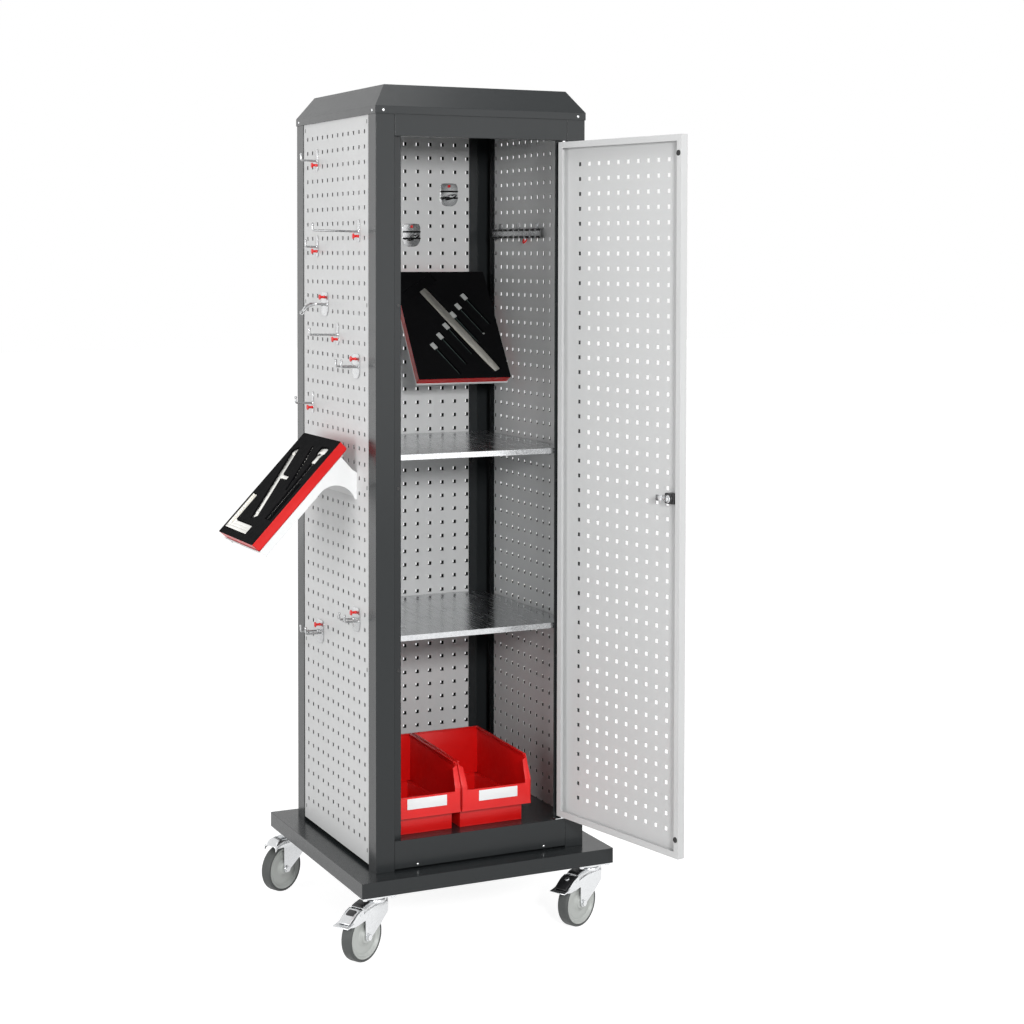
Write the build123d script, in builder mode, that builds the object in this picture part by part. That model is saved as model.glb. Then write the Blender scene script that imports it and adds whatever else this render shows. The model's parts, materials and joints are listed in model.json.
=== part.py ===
from build123d import *
from build123d.topology import SkipClean
import os
from math import cos, sin, radians

# Mobile tool cabinet with a perforated door. Millimetres, +Z up, the door side faces -Y.
# The origin is on the floor, under the middle of the cabinet body.

# ---------------------------------------------------------------- driving dimensions
PITCH = 38.0            # perforation pitch, the common workshop panel grid
HOLE = 10.0             # side of one square perforation
LUG = 8.0               # side of a lug that hangs in a perforation
LUG_DROP = 4.8          # bottom of a lug below the middle of its perforation
SHEET = 1.5             # folded sheet of the body
THIN = 1.2              # folded sheet of door, shelves and tray supports

BODY = 580.0            # outer width and depth of the cabinet body
POST_FACE = 50.0        # visible width of a corner post on each side
RECESS = 20.0           # how far the wall recess and the door recess step back
FLANGE = 25.0           # width of the stepped-back post flange
BASE = 700.0            # side of the square platform
BASE_BOTTOM = 160.0     # caster height
BASE_H = 38.0           # platform thickness
POST_TOP = 2106.0       # top of the posts, inside the roof band

WALL_BOTTOM = 208.0     # lower edge of the perforated walls
WALL_TOP = 2100.0       # upper edge, covered by the roof band
WALL_COLS, WALL_ROWS = 12, 48
ROW_TOP = 2051.0        # height of the first row of wall perforations
EDGE_GAP = 1.5          # clearance between a wall and the post steps

BAND_BOTTOM = 2091.0    # roof band
BAND_TOP = 2110.0
BAND_SIDE = 584.0
ROOF_TOP = 2166.5
ROOF_FLAT = 506.0

HEADER_BOTTOM = 2037.0
SILL_TOP = 274.0
SILL_BOTTOM = 203.0
FLOOR_TOP = 269.0

DOOR_W = 472.0
DOOR_H = 1750.0
DOOR_BOTTOM = 283.0
DOOR_EDGE_X = 237.0     # hinge edge of the closed door
DOOR_FRONT = -291.0     # outer face of the closed door
DOOR_T = 20.0
DOOR_LIP = 16.0
DOOR_COLS, DOOR_ROWS = 10, 44
HINGE_X, HINGE_Y = 232.5, -286.0
PIN_R = 2.5
PIN_CLEARANCE = 0.08    # radial clearance of the door on its pins
DOOR_OPEN = 101.5       # degrees, how far the door stands open

LOCK_X, LOCK_Z = -196.0, 1155.0
CAM_LEN = 40.0
LOCK_CLEARANCE = 0.08

SHELF_TOPS = (1242.0, 786.0)
SHELF_HALF = 267.0
SHELF_LIP = 14.0

BIN_W, BIN_L, BIN_H = 196.0, 345.0, 175.0
BIN_WALL = 2.5
BIN_FRONT = -265.0
BIN_XS = {"right": 53.4, "left": -145.5}

TRAY_W, TRAY_L, TRAY_T = 274.0, 342.0, 28.0
TRAY_WALL = 2.0
FOAM_LIP = 1.2          # foam inlay that lies over the tray's rim

WHEEL_D, WHEEL_W = 125.0, 32.0
RIM_R = 55.5            # the tyre is a thin band around the rim
TRAIL = 48.0
CASTER_AT = 301.0       # swivel axes, from the middle of the platform
AXLE_R = 5.0
BOLT_R = 3.4
BOLT_SPACING = 74.0     # caster bolts, square pattern
BOLT_CLEARANCE = 0.1
CASTER_CLEARANCE = 0.08
CASTERS = {
    "front_left": (-1, -1, -150.0),
    "front_right": (1, -1, -155.0),
    "rear_left": (-1, 1, -153.0),
    "rear_right": (1, 1, -153.0),
}

H = BODY / 2
IN = H - RECESS         # stepped-back plane, outer face of the flanges
STEP = H - POST_FACE    # where the post faces end
OPEN = STEP - FLANGE    # half of the clear opening
WALL_FACE = H - 1.5     # outer face of a wall, just inside the post faces
BASE_TOP = BASE_BOTTOM + BASE_H
PLUG_ZS = [2075.0 - 458.5 * i for i in range(5)]

parts = {}


def block(x0, x1, y0, y1, z0, z1, mode=Mode.ADD):
    with Locations(((x0 + x1) / 2, (y0 + y1) / 2, (z0 + z1) / 2)):
        Box(x1 - x0, y1 - y0, z1 - z0, mode=mode)


# ---------------------------------------------------------------- platform
with BuildPart() as base_platform:
    block(-BASE / 2, BASE / 2, -BASE / 2, BASE / 2, BASE_BOTTOM, BASE_TOP)
    fillet(base_platform.edges().filter_by(Axis.Z), 3)
    inner = BASE / 2 - 2
    block(-inner, inner, -inner, inner, BASE_BOTTOM + 3, BASE_TOP - 2, Mode.SUBTRACT)
    # folded lip under the platform, wide enough for the caster plates
    hole = BASE / 2 - 110
    block(-hole, hole, -hole, hole, BASE_BOTTOM, BASE_BOTTOM + 3, Mode.SUBTRACT)
    with Locations(*[(x, y, BASE_BOTTOM) for x in (-CASTER_AT, CASTER_AT) for y in (-CASTER_AT, CASTER_AT)]):
        with GridLocations(BOLT_SPACING, BOLT_SPACING, 2, 2):
            Cylinder(BOLT_R + BOLT_CLEARANCE, 10, mode=Mode.SUBTRACT)
parts["base_platform"] = base_platform.part

# ---------------------------------------------------------------- corner posts
T = SHEET
with BuildPart() as post_front_right:
    with BuildSketch(Plane.XY.offset(BASE_TOP)):
        with BuildLine():
            Polyline(
                (OPEN, -IN), (STEP, -IN), (STEP, -H), (H, -H), (H, -STEP), (IN, -STEP), (IN, -OPEN),
                (IN - T, -OPEN), (IN - T, -STEP - T), (H - T, -STEP - T), (H - T, -H + T),
                (STEP + T, -H + T), (STEP + T, -IN + T), (OPEN, -IN + T), close=True,
            )
        make_face()
    extrude(amount=POST_TOP - BASE_TOP)
parts["post_front_right"] = post_front_right.part
parts["post_front_left"] = mirror(post_front_right.part, about=Plane.YZ)
parts["post_rear_right"] = mirror(post_front_right.part, about=Plane.XZ)
parts["post_rear_left"] = mirror(parts["post_rear_right"], about=Plane.YZ)

# ---------------------------------------------------------------- header and sill channels
IN_BACK = IN - T        # plane behind the front flanges
W2 = STEP - 0.5
with BuildPart() as header:
    block(-W2, W2, -H, -IN_BACK, HEADER_BOTTOM, WALL_TOP)
    block(-W2, W2, -H + T, -IN_BACK, HEADER_BOTTOM + T, WALL_TOP, Mode.SUBTRACT)
    block(-OPEN + 1, OPEN - 1, -IN_BACK - T, -IN_BACK, HEADER_BOTTOM, HEADER_BOTTOM + 18)
    # room for the post flanges behind the front plate
    for s in (-1, 1):
        x0, x1 = sorted((s * (OPEN - 0.5), s * (W2 + 1)))
        block(x0, x1, -IN - 0.3, -IN_BACK, HEADER_BOTTOM - 1, WALL_TOP, Mode.SUBTRACT)
    with Locations((HINGE_X, HINGE_Y, HEADER_BOTTOM)):
        Cylinder(PIN_R, 10, mode=Mode.SUBTRACT)
parts["header"] = header.part

with BuildPart() as sill:
    block(-W2, W2, -H, -IN_BACK, SILL_BOTTOM, SILL_TOP)
    block(-W2, W2, -H + T, -IN_BACK, SILL_BOTTOM, SILL_TOP - T, Mode.SUBTRACT)
    block(-OPEN + 1, OPEN - 1, -IN_BACK - T, -IN_BACK, SILL_TOP - 18, SILL_TOP)
    for s in (-1, 1):
        x0, x1 = sorted((s * (OPEN - 0.5), s * (W2 + 1)))
        block(x0, x1, -IN - 0.3, -IN_BACK, SILL_BOTTOM - 1, SILL_TOP + 1, Mode.SUBTRACT)
    with Locations((HINGE_X, HINGE_Y, SILL_TOP)):
        Cylinder(PIN_R, 12, mode=Mode.SUBTRACT)
parts["sill"] = sill.part

# ---------------------------------------------------------------- cabinet floor, a folded box
FLOOR_HALF = IN - T - 0.5
with BuildPart() as cabinet_floor:
    block(-FLOOR_HALF, FLOOR_HALF, -FLOOR_HALF, FLOOR_HALF, BASE_TOP, FLOOR_TOP)
    i = FLOOR_HALF - T
    block(-i, i, -i, i, BASE_TOP, FLOOR_TOP - T, Mode.SUBTRACT)
parts["cabinet_floor"] = cabinet_floor.part

# ---------------------------------------------------------------- roof cap
with BuildPart() as roof_cap:
    with Locations((0, 0, (BAND_BOTTOM + BAND_TOP) / 2)):
        Box(BAND_SIDE, BAND_SIDE, BAND_TOP - BAND_BOTTOM)
    with BuildSketch(Plane.XY.offset(BAND_TOP)):
        Rectangle(BAND_SIDE, BAND_SIDE)
    with BuildSketch(Plane.XY.offset(ROOF_TOP)):
        Rectangle(ROOF_FLAT, ROOF_FLAT)
    loft()
    inside = BAND_SIDE - 2 * T
    with Locations((0, 0, (BAND_BOTTOM + BAND_TOP - T) / 2)):
        Box(inside, inside, BAND_TOP - T - BAND_BOTTOM, mode=Mode.SUBTRACT)
    with BuildSketch(Plane.XY.offset(BAND_TOP - T)):
        Rectangle(inside, inside)
    with BuildSketch(Plane.XY.offset(ROOF_TOP - T)):
        Rectangle(ROOF_FLAT - 2 * T, ROOF_FLAT - 2 * T)
    loft(mode=Mode.SUBTRACT)
parts["roof_cap"] = roof_cap.part

# ---------------------------------------------------------------- perforated sheets
def sheet_wire(x, z, width, height):
    """Rectangle on the plane y = 0."""
    a, b = width / 2, height / 2
    return Wire.make_polygon([(x - a, 0, z - b), (x + a, 0, z - b), (x + a, 0, z + b), (x - a, 0, z + b)])


def square_holes(xs, zs):
    return [sheet_wire(x, z, HOLE, HOLE) for x in xs for z in zs]


# ---------------------------------------------------------------- double-skin perforated wall
WALL_HALF = STEP - EDGE_GAP
WALL_H = WALL_TOP - WALL_BOTTOM
SEGMENTS = 3            # the sheets are drawn in three stacked lengths
SEG_ROWS = WALL_ROWS // SEGMENTS
COLUMN_XS = [PITCH * (i - (WALL_COLS - 1) / 2) for i in range(WALL_COLS)]
with SkipClean(), BuildPart() as wall_rear:
    # the frame between the sheets, then two perforated sheets, the outer one with fixing slots
    middle = (WALL_TOP + WALL_BOTTOM) / 2
    frame_face = Face(
        sheet_wire(0, middle, 2 * WALL_HALF, WALL_H),
        [sheet_wire(0, middle, 2 * (WALL_HALF - T), WALL_H - 2 * T)],
    )
    extrude(frame_face.moved(Location((0, IN + T, 0))), amount=WALL_FACE - IN - 2 * T, dir=(0, 1, 0))
    for depth in (IN, WALL_FACE - T):
        for k in range(SEGMENTS):
            upper = WALL_TOP if k == 0 else ROW_TOP - PITCH * (SEG_ROWS * k - 0.5)
            lower = WALL_BOTTOM if k == SEGMENTS - 1 else ROW_TOP - PITCH * (SEG_ROWS * (k + 1) - 0.5)
            holes = square_holes(COLUMN_XS, [ROW_TOP - PITCH * j for j in range(SEG_ROWS * k, SEG_ROWS * (k + 1))])
            if depth > IN:
                holes += [sheet_wire(s * 226, z, 4, 10) for s in (-1, 1) for z in PLUG_ZS if lower < z < upper]
            sheet = Face(sheet_wire(0, (upper + lower) / 2, 2 * WALL_HALF, upper - lower), holes)
            extrude(sheet.moved(Location((0, depth, 0))), amount=T, dir=(0, 1, 0))
parts["wall_rear"] = wall_rear.part
parts["wall_left"] = wall_rear.part.rotate(Axis.Z, 90)
parts["wall_right"] = wall_rear.part.rotate(Axis.Z, -90)

# ---------------------------------------------------------------- black plugs and bright screws
with BuildPart() as rear_plugs:
    for s in (-1, 1):
        for z in PLUG_ZS:
            block(s * 226 - 2, s * 226 + 2, WALL_FACE - 4, WALL_FACE + 0.3, z - 5, z + 5)
            # domed caps on the inner flange of the post, above the cabinet floor
            if z > FLOOR_TOP:
                with Locations(Location((s * 227.5, IN - T, z), (90, 0, 0))):
                    Cylinder(4, 1.6, align=(Align.CENTER, Align.CENTER, Align.MIN))
with BuildPart() as front_caps:
    for s in (-1, 1):
        for z in PLUG_ZS[1:4]:
            with Locations(Location((s * 222.0, -IN, z), (90, 0, 0))):
                Cylinder(4, 0.8, align=(Align.CENTER, Align.CENTER, Align.MIN))
parts["black_plugs"] = Compound(
    [s for a in (0, 90, -90) for s in rear_plugs.part.rotate(Axis.Z, a).solids()]
    + list(front_caps.part.solids())
)

with BuildPart() as front_screws:
    for s in (-1, 1):
        with Locations(Location((s * 270, -BAND_SIDE / 2, 2100), (90, 0, 0))):
            Cylinder(3.5, 1.6, align=(Align.CENTER, Align.CENTER, Align.MIN))
with BuildPart() as sill_screws:
    for s in (-1, 1):
        with Locations(Location((s * 177, -H, SILL_BOTTOM + 6), (90, 0, 0))):
            Cylinder(3, 1.2, align=(Align.CENTER, Align.CENTER, Align.MIN))
parts["cover_screws"] = Compound(
    [s for a in (0, 90, 180, -90) for s in front_screws.part.rotate(Axis.Z, a).solids()]
    + list(sill_screws.part.solids())
)

# ---------------------------------------------------------------- shelves on clips in the wall grid
for name, top in zip(("shelf_upper", "shelf_lower"), SHELF_TOPS):
    with BuildPart() as shelf:
        block(-SHELF_HALF, SHELF_HALF, -SHELF_HALF, SHELF_HALF, top - SHELF_LIP, top)
        fillet(shelf.edges().filter_by(Axis.Z), 2)
        i = SHELF_HALF - THIN
        block(-i, i, -i, i, top - SHELF_LIP, top - THIN, Mode.SUBTRACT)
    parts[name] = shelf.part

clips = []
for top in SHELF_TOPS:
    under = top - SHELF_LIP
    row = ROW_TOP - PITCH * round((ROW_TOP - under + 13) / PITCH)
    for s in (-1, 1):
        for y in (-171.0, 171.0):
            with BuildPart() as clip:
                x0, x1 = sorted((s * 252, s * 269.9))
                block(x0, x1, y - 9, y + 9, under - 2.5, under)
                x0, x1 = sorted((s * 267.9, s * 269.9))
                block(x0, x1, y - 9, y + 9, row - 9, under)
                x0, x1 = sorted((s * 269.5, s * 276))
                block(x0, x1, y - 4, y + 4, row - LUG_DROP, row + LUG - LUG_DROP)
            clips.append(clip.part)
parts["shelf_clips"] = Compound([s for c in clips for s in c.solids()])

# ---------------------------------------------------------------- door, modelled closed, then swung open
DX1 = DOOR_EDGE_X
DX0 = DX1 - DOOR_W
DZ0, DZ1 = DOOR_BOTTOM, DOOR_BOTTOM + DOOR_H
DY0, DY1 = DOOR_FRONT, DOOR_FRONT + DOOR_T
opened = lambda p: p.rotate(Axis((HINGE_X, HINGE_Y, 0), (0, 0, 1)), DOOR_OPEN)
DOOR_XS = [(DX0 + DX1) / 2 + PITCH * (i - (DOOR_COLS - 1) / 2) for i in range(DOOR_COLS)]
DOOR_ZS = [(DZ0 + DZ1) / 2 + PITCH * (i - (DOOR_ROWS - 1) / 2) for i in range(DOOR_ROWS)]
BUFFER_ZS = (DZ0 + 46, DZ1 - 45)
BUFFER_STEM_R = 3.0     # stem that snaps through the door lip
lock_hole = Wire.make_circle(11, Plane(origin=(LOCK_X, 0, LOCK_Z), z_dir=(0, 1, 0)))
door_face = Face(
    sheet_wire((DX0 + DX1) / 2, (DZ0 + DZ1) / 2, DOOR_W, DOOR_H),
    square_holes(DOOR_XS, DOOR_ZS) + [lock_hole],
)
with SkipClean(), BuildPart() as door_panel:
    extrude(door_face.moved(Location((0, DY0, 0))), amount=THIN, dir=(0, 1, 0))
    # folded sides and the lip that faces the frame
    with BuildSketch(Plane.XZ.offset(-(DY0 + THIN))):
        with Locations(((DX0 + DX1) / 2, (DZ0 + DZ1) / 2)):
            Rectangle(DOOR_W, DOOR_H)
            Rectangle(DOOR_W - 2 * THIN, DOOR_H - 2 * THIN, mode=Mode.SUBTRACT)
    extrude(amount=-(DOOR_T - 2 * THIN), clean=False)
    with BuildSketch(Plane.XZ.offset(-(DY1 - THIN))):
        with Locations(((DX0 + DX1) / 2, (DZ0 + DZ1) / 2)):
            Rectangle(DOOR_W, DOOR_H)
            Rectangle(DOOR_W - 2 * DOOR_LIP, DOOR_H - 2 * DOOR_LIP, mode=Mode.SUBTRACT)
    extrude(amount=-THIN, clean=False)
    with Locations((HINGE_X, HINGE_Y, DZ0), (HINGE_X, HINGE_Y, DZ1)):
        Cylinder(PIN_R + PIN_CLEARANCE, 10, mode=Mode.SUBTRACT)
    for z in BUFFER_ZS:
        with Locations(Location((DX0 + 10, DY1, z), (90, 0, 0))):
            Cylinder(BUFFER_STEM_R + PIN_CLEARANCE, 2 * THIN + 1, mode=Mode.SUBTRACT)
parts["door_panel"] = opened(door_panel.part)

with BuildPart() as door_buffers:
    for z in BUFFER_ZS:
        with Locations(Location((DX0 + 10, DY1, z), (-90, 0, 0))):
            Cylinder(7, 0.9, align=(Align.CENTER, Align.CENTER, Align.MIN))
        with Locations(Location((DX0 + 10, DY1 - THIN - 1.5, z), (-90, 0, 0))):
            Cylinder(6, 1.5, align=(Align.CENTER, Align.CENTER, Align.MIN))
        with Locations(Location((DX0 + 10, DY1 - THIN, z), (-90, 0, 0))):
            Cylinder(BUFFER_STEM_R, THIN, align=(Align.CENTER, Align.CENTER, Align.MIN))
parts["door_buffers"] = opened(door_buffers.part)

with BuildPart() as hinge_pins:
    with Locations((HINGE_X, HINGE_Y, (DZ1 - 10 + HEADER_BOTTOM + 5) / 2)):
        Cylinder(PIN_R, HEADER_BOTTOM + 5 - DZ1 + 10)
    with Locations((HINGE_X, HINGE_Y, (SILL_TOP - 6 + DZ0 + 10) / 2)):
        Cylinder(PIN_R, DZ0 + 10 - SILL_TOP + 6)
    # bearing washers under and over the door
    with Locations((HINGE_X, HINGE_Y + 1, (SILL_TOP + 2 + DZ0) / 2)):
        Cylinder(4.5, DZ0 - SILL_TOP - 2)
    with Locations((HINGE_X, HINGE_Y + 1, (HEADER_BOTTOM + DZ1 + 0.3) / 2)):
        Cylinder(4.5, HEADER_BOTTOM - DZ1 - 0.3)
    block(212, 239, -289, -IN, SILL_TOP, SILL_TOP + 2)
parts["hinge_pins"] = hinge_pins.part

# ---------------------------------------------------------------- cam lock
with BuildPart() as lock_body:
    with Locations(Location((LOCK_X, DY0 + THIN, LOCK_Z), (-90, 0, 0))):
        Cylinder(13, 21.3, align=(Align.CENTER, Align.CENTER, Align.MIN))
    block(LOCK_X - 17, LOCK_X + 17, DY0 + THIN, DY0 + THIN + 17, LOCK_Z - 13, LOCK_Z + 13)
    with Locations(Location((LOCK_X, DY0 - 2, LOCK_Z), (-90, 0, 0))):
        Cylinder(17, 2, align=(Align.CENTER, Align.CENTER, Align.MIN))
        Cylinder(10.9, 4, align=(Align.CENTER, Align.CENTER, Align.MIN))
    with Locations(Location((LOCK_X, 0, LOCK_Z), (90, 0, 0))):
        Cylinder(5 + LOCK_CLEARANCE, 1000, mode=Mode.SUBTRACT)
parts["lock_body"] = opened(lock_body.part)

CAM_Y = DY0 + THIN + 21.6
with BuildPart() as lock_cam:
    # spindle through the lock body
    with Locations(Location((LOCK_X, DY0 - 2.2, LOCK_Z), (-90, 0, 0))):
        Cylinder(5, CAM_Y - DY0 + 2.2, align=(Align.CENTER, Align.CENTER, Align.MIN))
    block(LOCK_X, LOCK_X + CAM_LEN - 20, CAM_Y, CAM_Y + 3, LOCK_Z - 6, LOCK_Z + 6)
    with Locations(Location((LOCK_X, CAM_Y, LOCK_Z), (-90, 0, 0))):
        Cylinder(10, 3, align=(Align.CENTER, Align.CENTER, Align.MIN))
        Cylinder(7, 7, align=(Align.CENTER, Align.CENTER, Align.MIN))
    # thicker sliding end of the cam
    block(LOCK_X + CAM_LEN - 21, LOCK_X + CAM_LEN, CAM_Y, CAM_Y + 5, LOCK_Z - 7.5, LOCK_Z + 7.5)
parts["lock_cam"] = opened(lock_cam.part)

with BuildPart() as lock_knob:
    with Locations(Location((LOCK_X, DY0 - 2.2, LOCK_Z), (90, 0, 0))):
        Cylinder(15, 6, align=(Align.CENTER, Align.CENTER, Align.MIN))
    # wing that the hand turns
    block(LOCK_X - 14, LOCK_X + 14, DY0 - 21, DY0 - 8, LOCK_Z - 4, LOCK_Z + 4)
    fillet(lock_knob.edges().filter_by(Axis.Y), 2)
parts["lock_knob"] = opened(lock_knob.part)

# ---------------------------------------------------------------- casters
plates, bolts = [], []
with BuildPart() as plate:
    with Locations((0, 0, BASE_BOTTOM - 2)):
        Box(92, 92, 4)
    fillet(plate.edges().filter_by(Axis.Z), 8)
    # bearing ring and king pin
    with Locations((0, 0, BASE_BOTTOM - 4)):
        Cylinder(30, 8, align=(Align.CENTER, Align.CENTER, Align.MAX))
        Cylinder(7, 26, align=(Align.CENTER, Align.CENTER, Align.MAX))
    with Locations((0, 0, BASE_BOTTOM - 2)):
        with GridLocations(BOLT_SPACING, BOLT_SPACING, 2, 2):
            Cylinder(BOLT_R + BOLT_CLEARANCE, 10, mode=Mode.SUBTRACT)
with BuildPart() as bolt:
    with Locations((0, 0, BASE_BOTTOM - 4)):
        with GridLocations(BOLT_SPACING, BOLT_SPACING, 2, 2):
            Cylinder(6, 4, align=(Align.CENTER, Align.CENTER, Align.MAX))
            Cylinder(BOLT_R, 13, align=(Align.CENTER, Align.CENTER, Align.MIN))

# fork: u runs from the swivel axis towards the wheel
BRAKE_U, BRAKE_Z, BRAKE_R = 77.0, 124.0, 3.0    # pivot of the brake lever
DISH_TOP = BASE_BOTTOM - 12.3
LEG = [(-30, DISH_TOP - 1), (-30, 107), (-1, 83), (34, 60), (40, 53), (54, 53), (58, 60)]
ARMS = {
    "braked": [(58, 106), (80, 103), (101, 101), (113, 103), (115, 108), (88, 129), (58, 141.5), (32, DISH_TOP - 1)],
    "plain": [(58, 124), (90, 125), (93, 131), (82, 141), (66, DISH_TOP - 1)],
}


def fork(arm):
    with BuildPart() as f:
        with Locations((0, 0, DISH_TOP)):
            Cylinder(31, 10, align=(Align.CENTER, Align.CENTER, Align.MAX))
        with BuildSketch(Plane.XZ.offset(-(WHEEL_W / 2 + 6))):
            with BuildLine():
                Polyline(*LEG, *ARMS[arm], close=True)
            make_face()
        extrude(amount=WHEEL_W + 12)
        # the wheel well between the two legs
        block(-60, 120, -WHEEL_W / 2 - 3.5, WHEEL_W / 2 + 3.5, 0, DISH_TOP - 10, Mode.SUBTRACT)
        with Locations((0, 0, DISH_TOP)):
            Cylinder(7 + CASTER_CLEARANCE, 40, mode=Mode.SUBTRACT)
        with Locations(Location((TRAIL, 0, WHEEL_D / 2), (90, 0, 0))):
            Cylinder(AXLE_R, 200, mode=Mode.SUBTRACT)
        if arm == "braked":
            with Locations(Location((BRAKE_U, 0, BRAKE_Z), (90, 0, 0))):
                Cylinder(BRAKE_R + CASTER_CLEARANCE, 200, mode=Mode.SUBTRACT)
    return f.part


with BuildPart() as axle:
    with Locations(Location((TRAIL, 0, WHEEL_D / 2), (90, 0, 0))):
        Cylinder(AXLE_R, WHEEL_W + 20)
    for s in (-1, 1):
        with Locations(Location((TRAIL, s * (WHEEL_W / 2 + 8.5), WHEEL_D / 2), (90, 0, 0))):
            Cylinder(8.5, 5)
with BuildPart() as rim:
    with Locations(Location((TRAIL, 0, WHEEL_D / 2), (90, 0, 0))):
        Cylinder(RIM_R, WHEEL_W - 4)
        Cylinder(RIM_R - 6, WHEEL_W, mode=Mode.SUBTRACT)
        Cylinder(RIM_R - 5, 19)
        Cylinder(16, WHEEL_W + 4)
        Cylinder(AXLE_R + CASTER_CLEARANCE, 100, mode=Mode.SUBTRACT)
with BuildPart() as tyre:
    with Locations(Location((TRAIL, 0, WHEEL_D / 2), (90, 0, 0))):
        Cylinder(WHEEL_D / 2, WHEEL_W)
        fillet(tyre.edges().filter_by(GeomType.CIRCLE), 5)
        Cylinder(RIM_R, 100, mode=Mode.SUBTRACT)
with BuildPart() as pedal:
    # lever over the wheel and the step that sticks out past it
    with BuildSketch(Plane.XZ.offset(-(WHEEL_W / 2 + 1))):
        with BuildLine():
            Polyline(
                (70, 127), (70, 133), (88, 127), (117, 110.5), (131, 105.5), (131, 103), (117, 104.5), (104, 112),
                (88, 119), (80, 120.5), close=True,
            )
        make_face()
    extrude(amount=WHEEL_W + 2)
    with Locations(Location((BRAKE_U, 0, BRAKE_Z), (90, 0, 0))):
        Cylinder(BRAKE_R, WHEEL_W + 14)

for name, (sx, sy, turn) in CASTERS.items():
    at = (sx * CASTER_AT, sy * CASTER_AT, 0)
    plates += plate.part.moved(Location(at)).solids()
    bolts += bolt.part.moved(Location(at)).solids()
    where = Location(at, (0, 0, turn))
    parts["fork_" + name] = fork("braked" if sy < 0 else "plain").moved(where)
    parts["axle_" + name] = axle.part.moved(where)
    parts["rim_" + name] = rim.part.moved(where)
    parts["tyre_" + name] = tyre.part.moved(where)
    if sy < 0:
        parts["brake_" + name] = pedal.part.moved(where)
parts["caster_plates"] = Compound(plates)
parts["caster_bolts"] = Compound(bolts)

# ---------------------------------------------------------------- storage bins
FOOT = 88.0             # half width of the bin foot
FOOT_BACK = 35.0        # how far the foot stands behind the bin's front
STEP_Z = 50.0           # height of the foot
LIP_Z = 104.0           # height of the front wall
FLANGE_W, FLANGE_Z = 16.0, 159.0    # upright flanges beside the open front
with BuildPart() as bin_shell:
    z0 = FLOOR_TOP
    with BuildSketch(Plane.YZ.offset(-BIN_W / 2)):
        with BuildLine():
            Polyline(
                (BIN_FRONT + BIN_L, z0 + STEP_Z), (BIN_FRONT + BIN_L, z0 + BIN_H),
                (BIN_FRONT + 30, z0 + BIN_H), (BIN_FRONT, z0 + 114), (BIN_FRONT, z0 + STEP_Z), close=True,
            )
        make_face()
    extrude(amount=BIN_W)
    block(-FOOT, FOOT, BIN_FRONT + FOOT_BACK, BIN_FRONT + BIN_L - 6, z0, z0 + STEP_Z)
    w = BIN_WALL
    # inside, then the open front above the front wall
    block(-BIN_W / 2 + w, BIN_W / 2 - w, BIN_FRONT + w, BIN_FRONT + BIN_L - w, z0 + STEP_Z + w, z0 + 400,
          Mode.SUBTRACT)
    block(-FOOT + w, FOOT - w, BIN_FRONT + FOOT_BACK + w, BIN_FRONT + BIN_L - 6 - w, z0 + w, z0 + 100,
          Mode.SUBTRACT)
    i = BIN_W / 2 - FLANGE_W
    block(-i, i, BIN_FRONT - 1, BIN_FRONT + 40, z0 + LIP_Z, z0 + 400, Mode.SUBTRACT)
    # stiffening rim along the top of the sides and the back
    for s in (-1, 1):
        x0, x1 = sorted((s * (BIN_W / 2 - 6), s * BIN_W / 2))
        block(x0, x1, BIN_FRONT + 30, BIN_FRONT + BIN_L, z0 + BIN_H - 9, z0 + BIN_H)
    block(-BIN_W / 2, BIN_W / 2, BIN_FRONT + BIN_L - 6, BIN_FRONT + BIN_L, z0 + BIN_H - 9, z0 + BIN_H)
with BuildPart() as bin_label:
    block(-50, 59, BIN_FRONT - 0.8, BIN_FRONT, FLOOR_TOP + 73, FLOOR_TOP + 100)
for side, x in BIN_XS.items():
    parts["bin_" + side] = bin_shell.part.moved(Location((x, 0, 0)))
    parts["bin_label_" + side] = bin_label.part.moved(Location((x, 0, 0)))

# ---------------------------------------------------------------- tilted trays
# tray frame: x across, y down the slope, z out of the tray face; the face is z = 0
with BuildPart() as tray:
    block(-TRAY_W / 2, TRAY_W / 2, 0, TRAY_L, -TRAY_T, 0)
    fillet(tray.edges().filter_by(Axis.Z), 4)
    w = TRAY_WALL
    block(-TRAY_W / 2 + w, TRAY_W / 2 - w, w, TRAY_L - w, -TRAY_T + w, 1, Mode.SUBTRACT)
    block(-TRAY_W, TRAY_W, -1, TRAY_L + 1, -FOAM_LIP - 0.1, 1, Mode.SUBTRACT)
FOAM_GAP = 0.3          # foam to tray wall
FOAM_DEPTH = 7.5        # depth of the tool nests
g = TRAY_WALL + FOAM_GAP


def foam(nests):
    with BuildPart() as f:
        block(-TRAY_W / 2, TRAY_W / 2, 0, TRAY_L, -FOAM_LIP, 0)
        fillet(f.edges().filter_by(Axis.Z), 4)
        block(-TRAY_W / 2 + g, TRAY_W / 2 - g, g, TRAY_L - g, -TRAY_T + TRAY_WALL, -FOAM_LIP)
        with BuildSketch(Plane.XY.offset(-FOAM_DEPTH)):
            for cx, cy, a, l, b in nests:
                with Locations(Location((cx, cy, 0), (0, 0, a))):
                    Rectangle(l + 4, b + 4)
        extrude(amount=FOAM_DEPTH + 5, mode=Mode.SUBTRACT)
    return f.part


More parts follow.
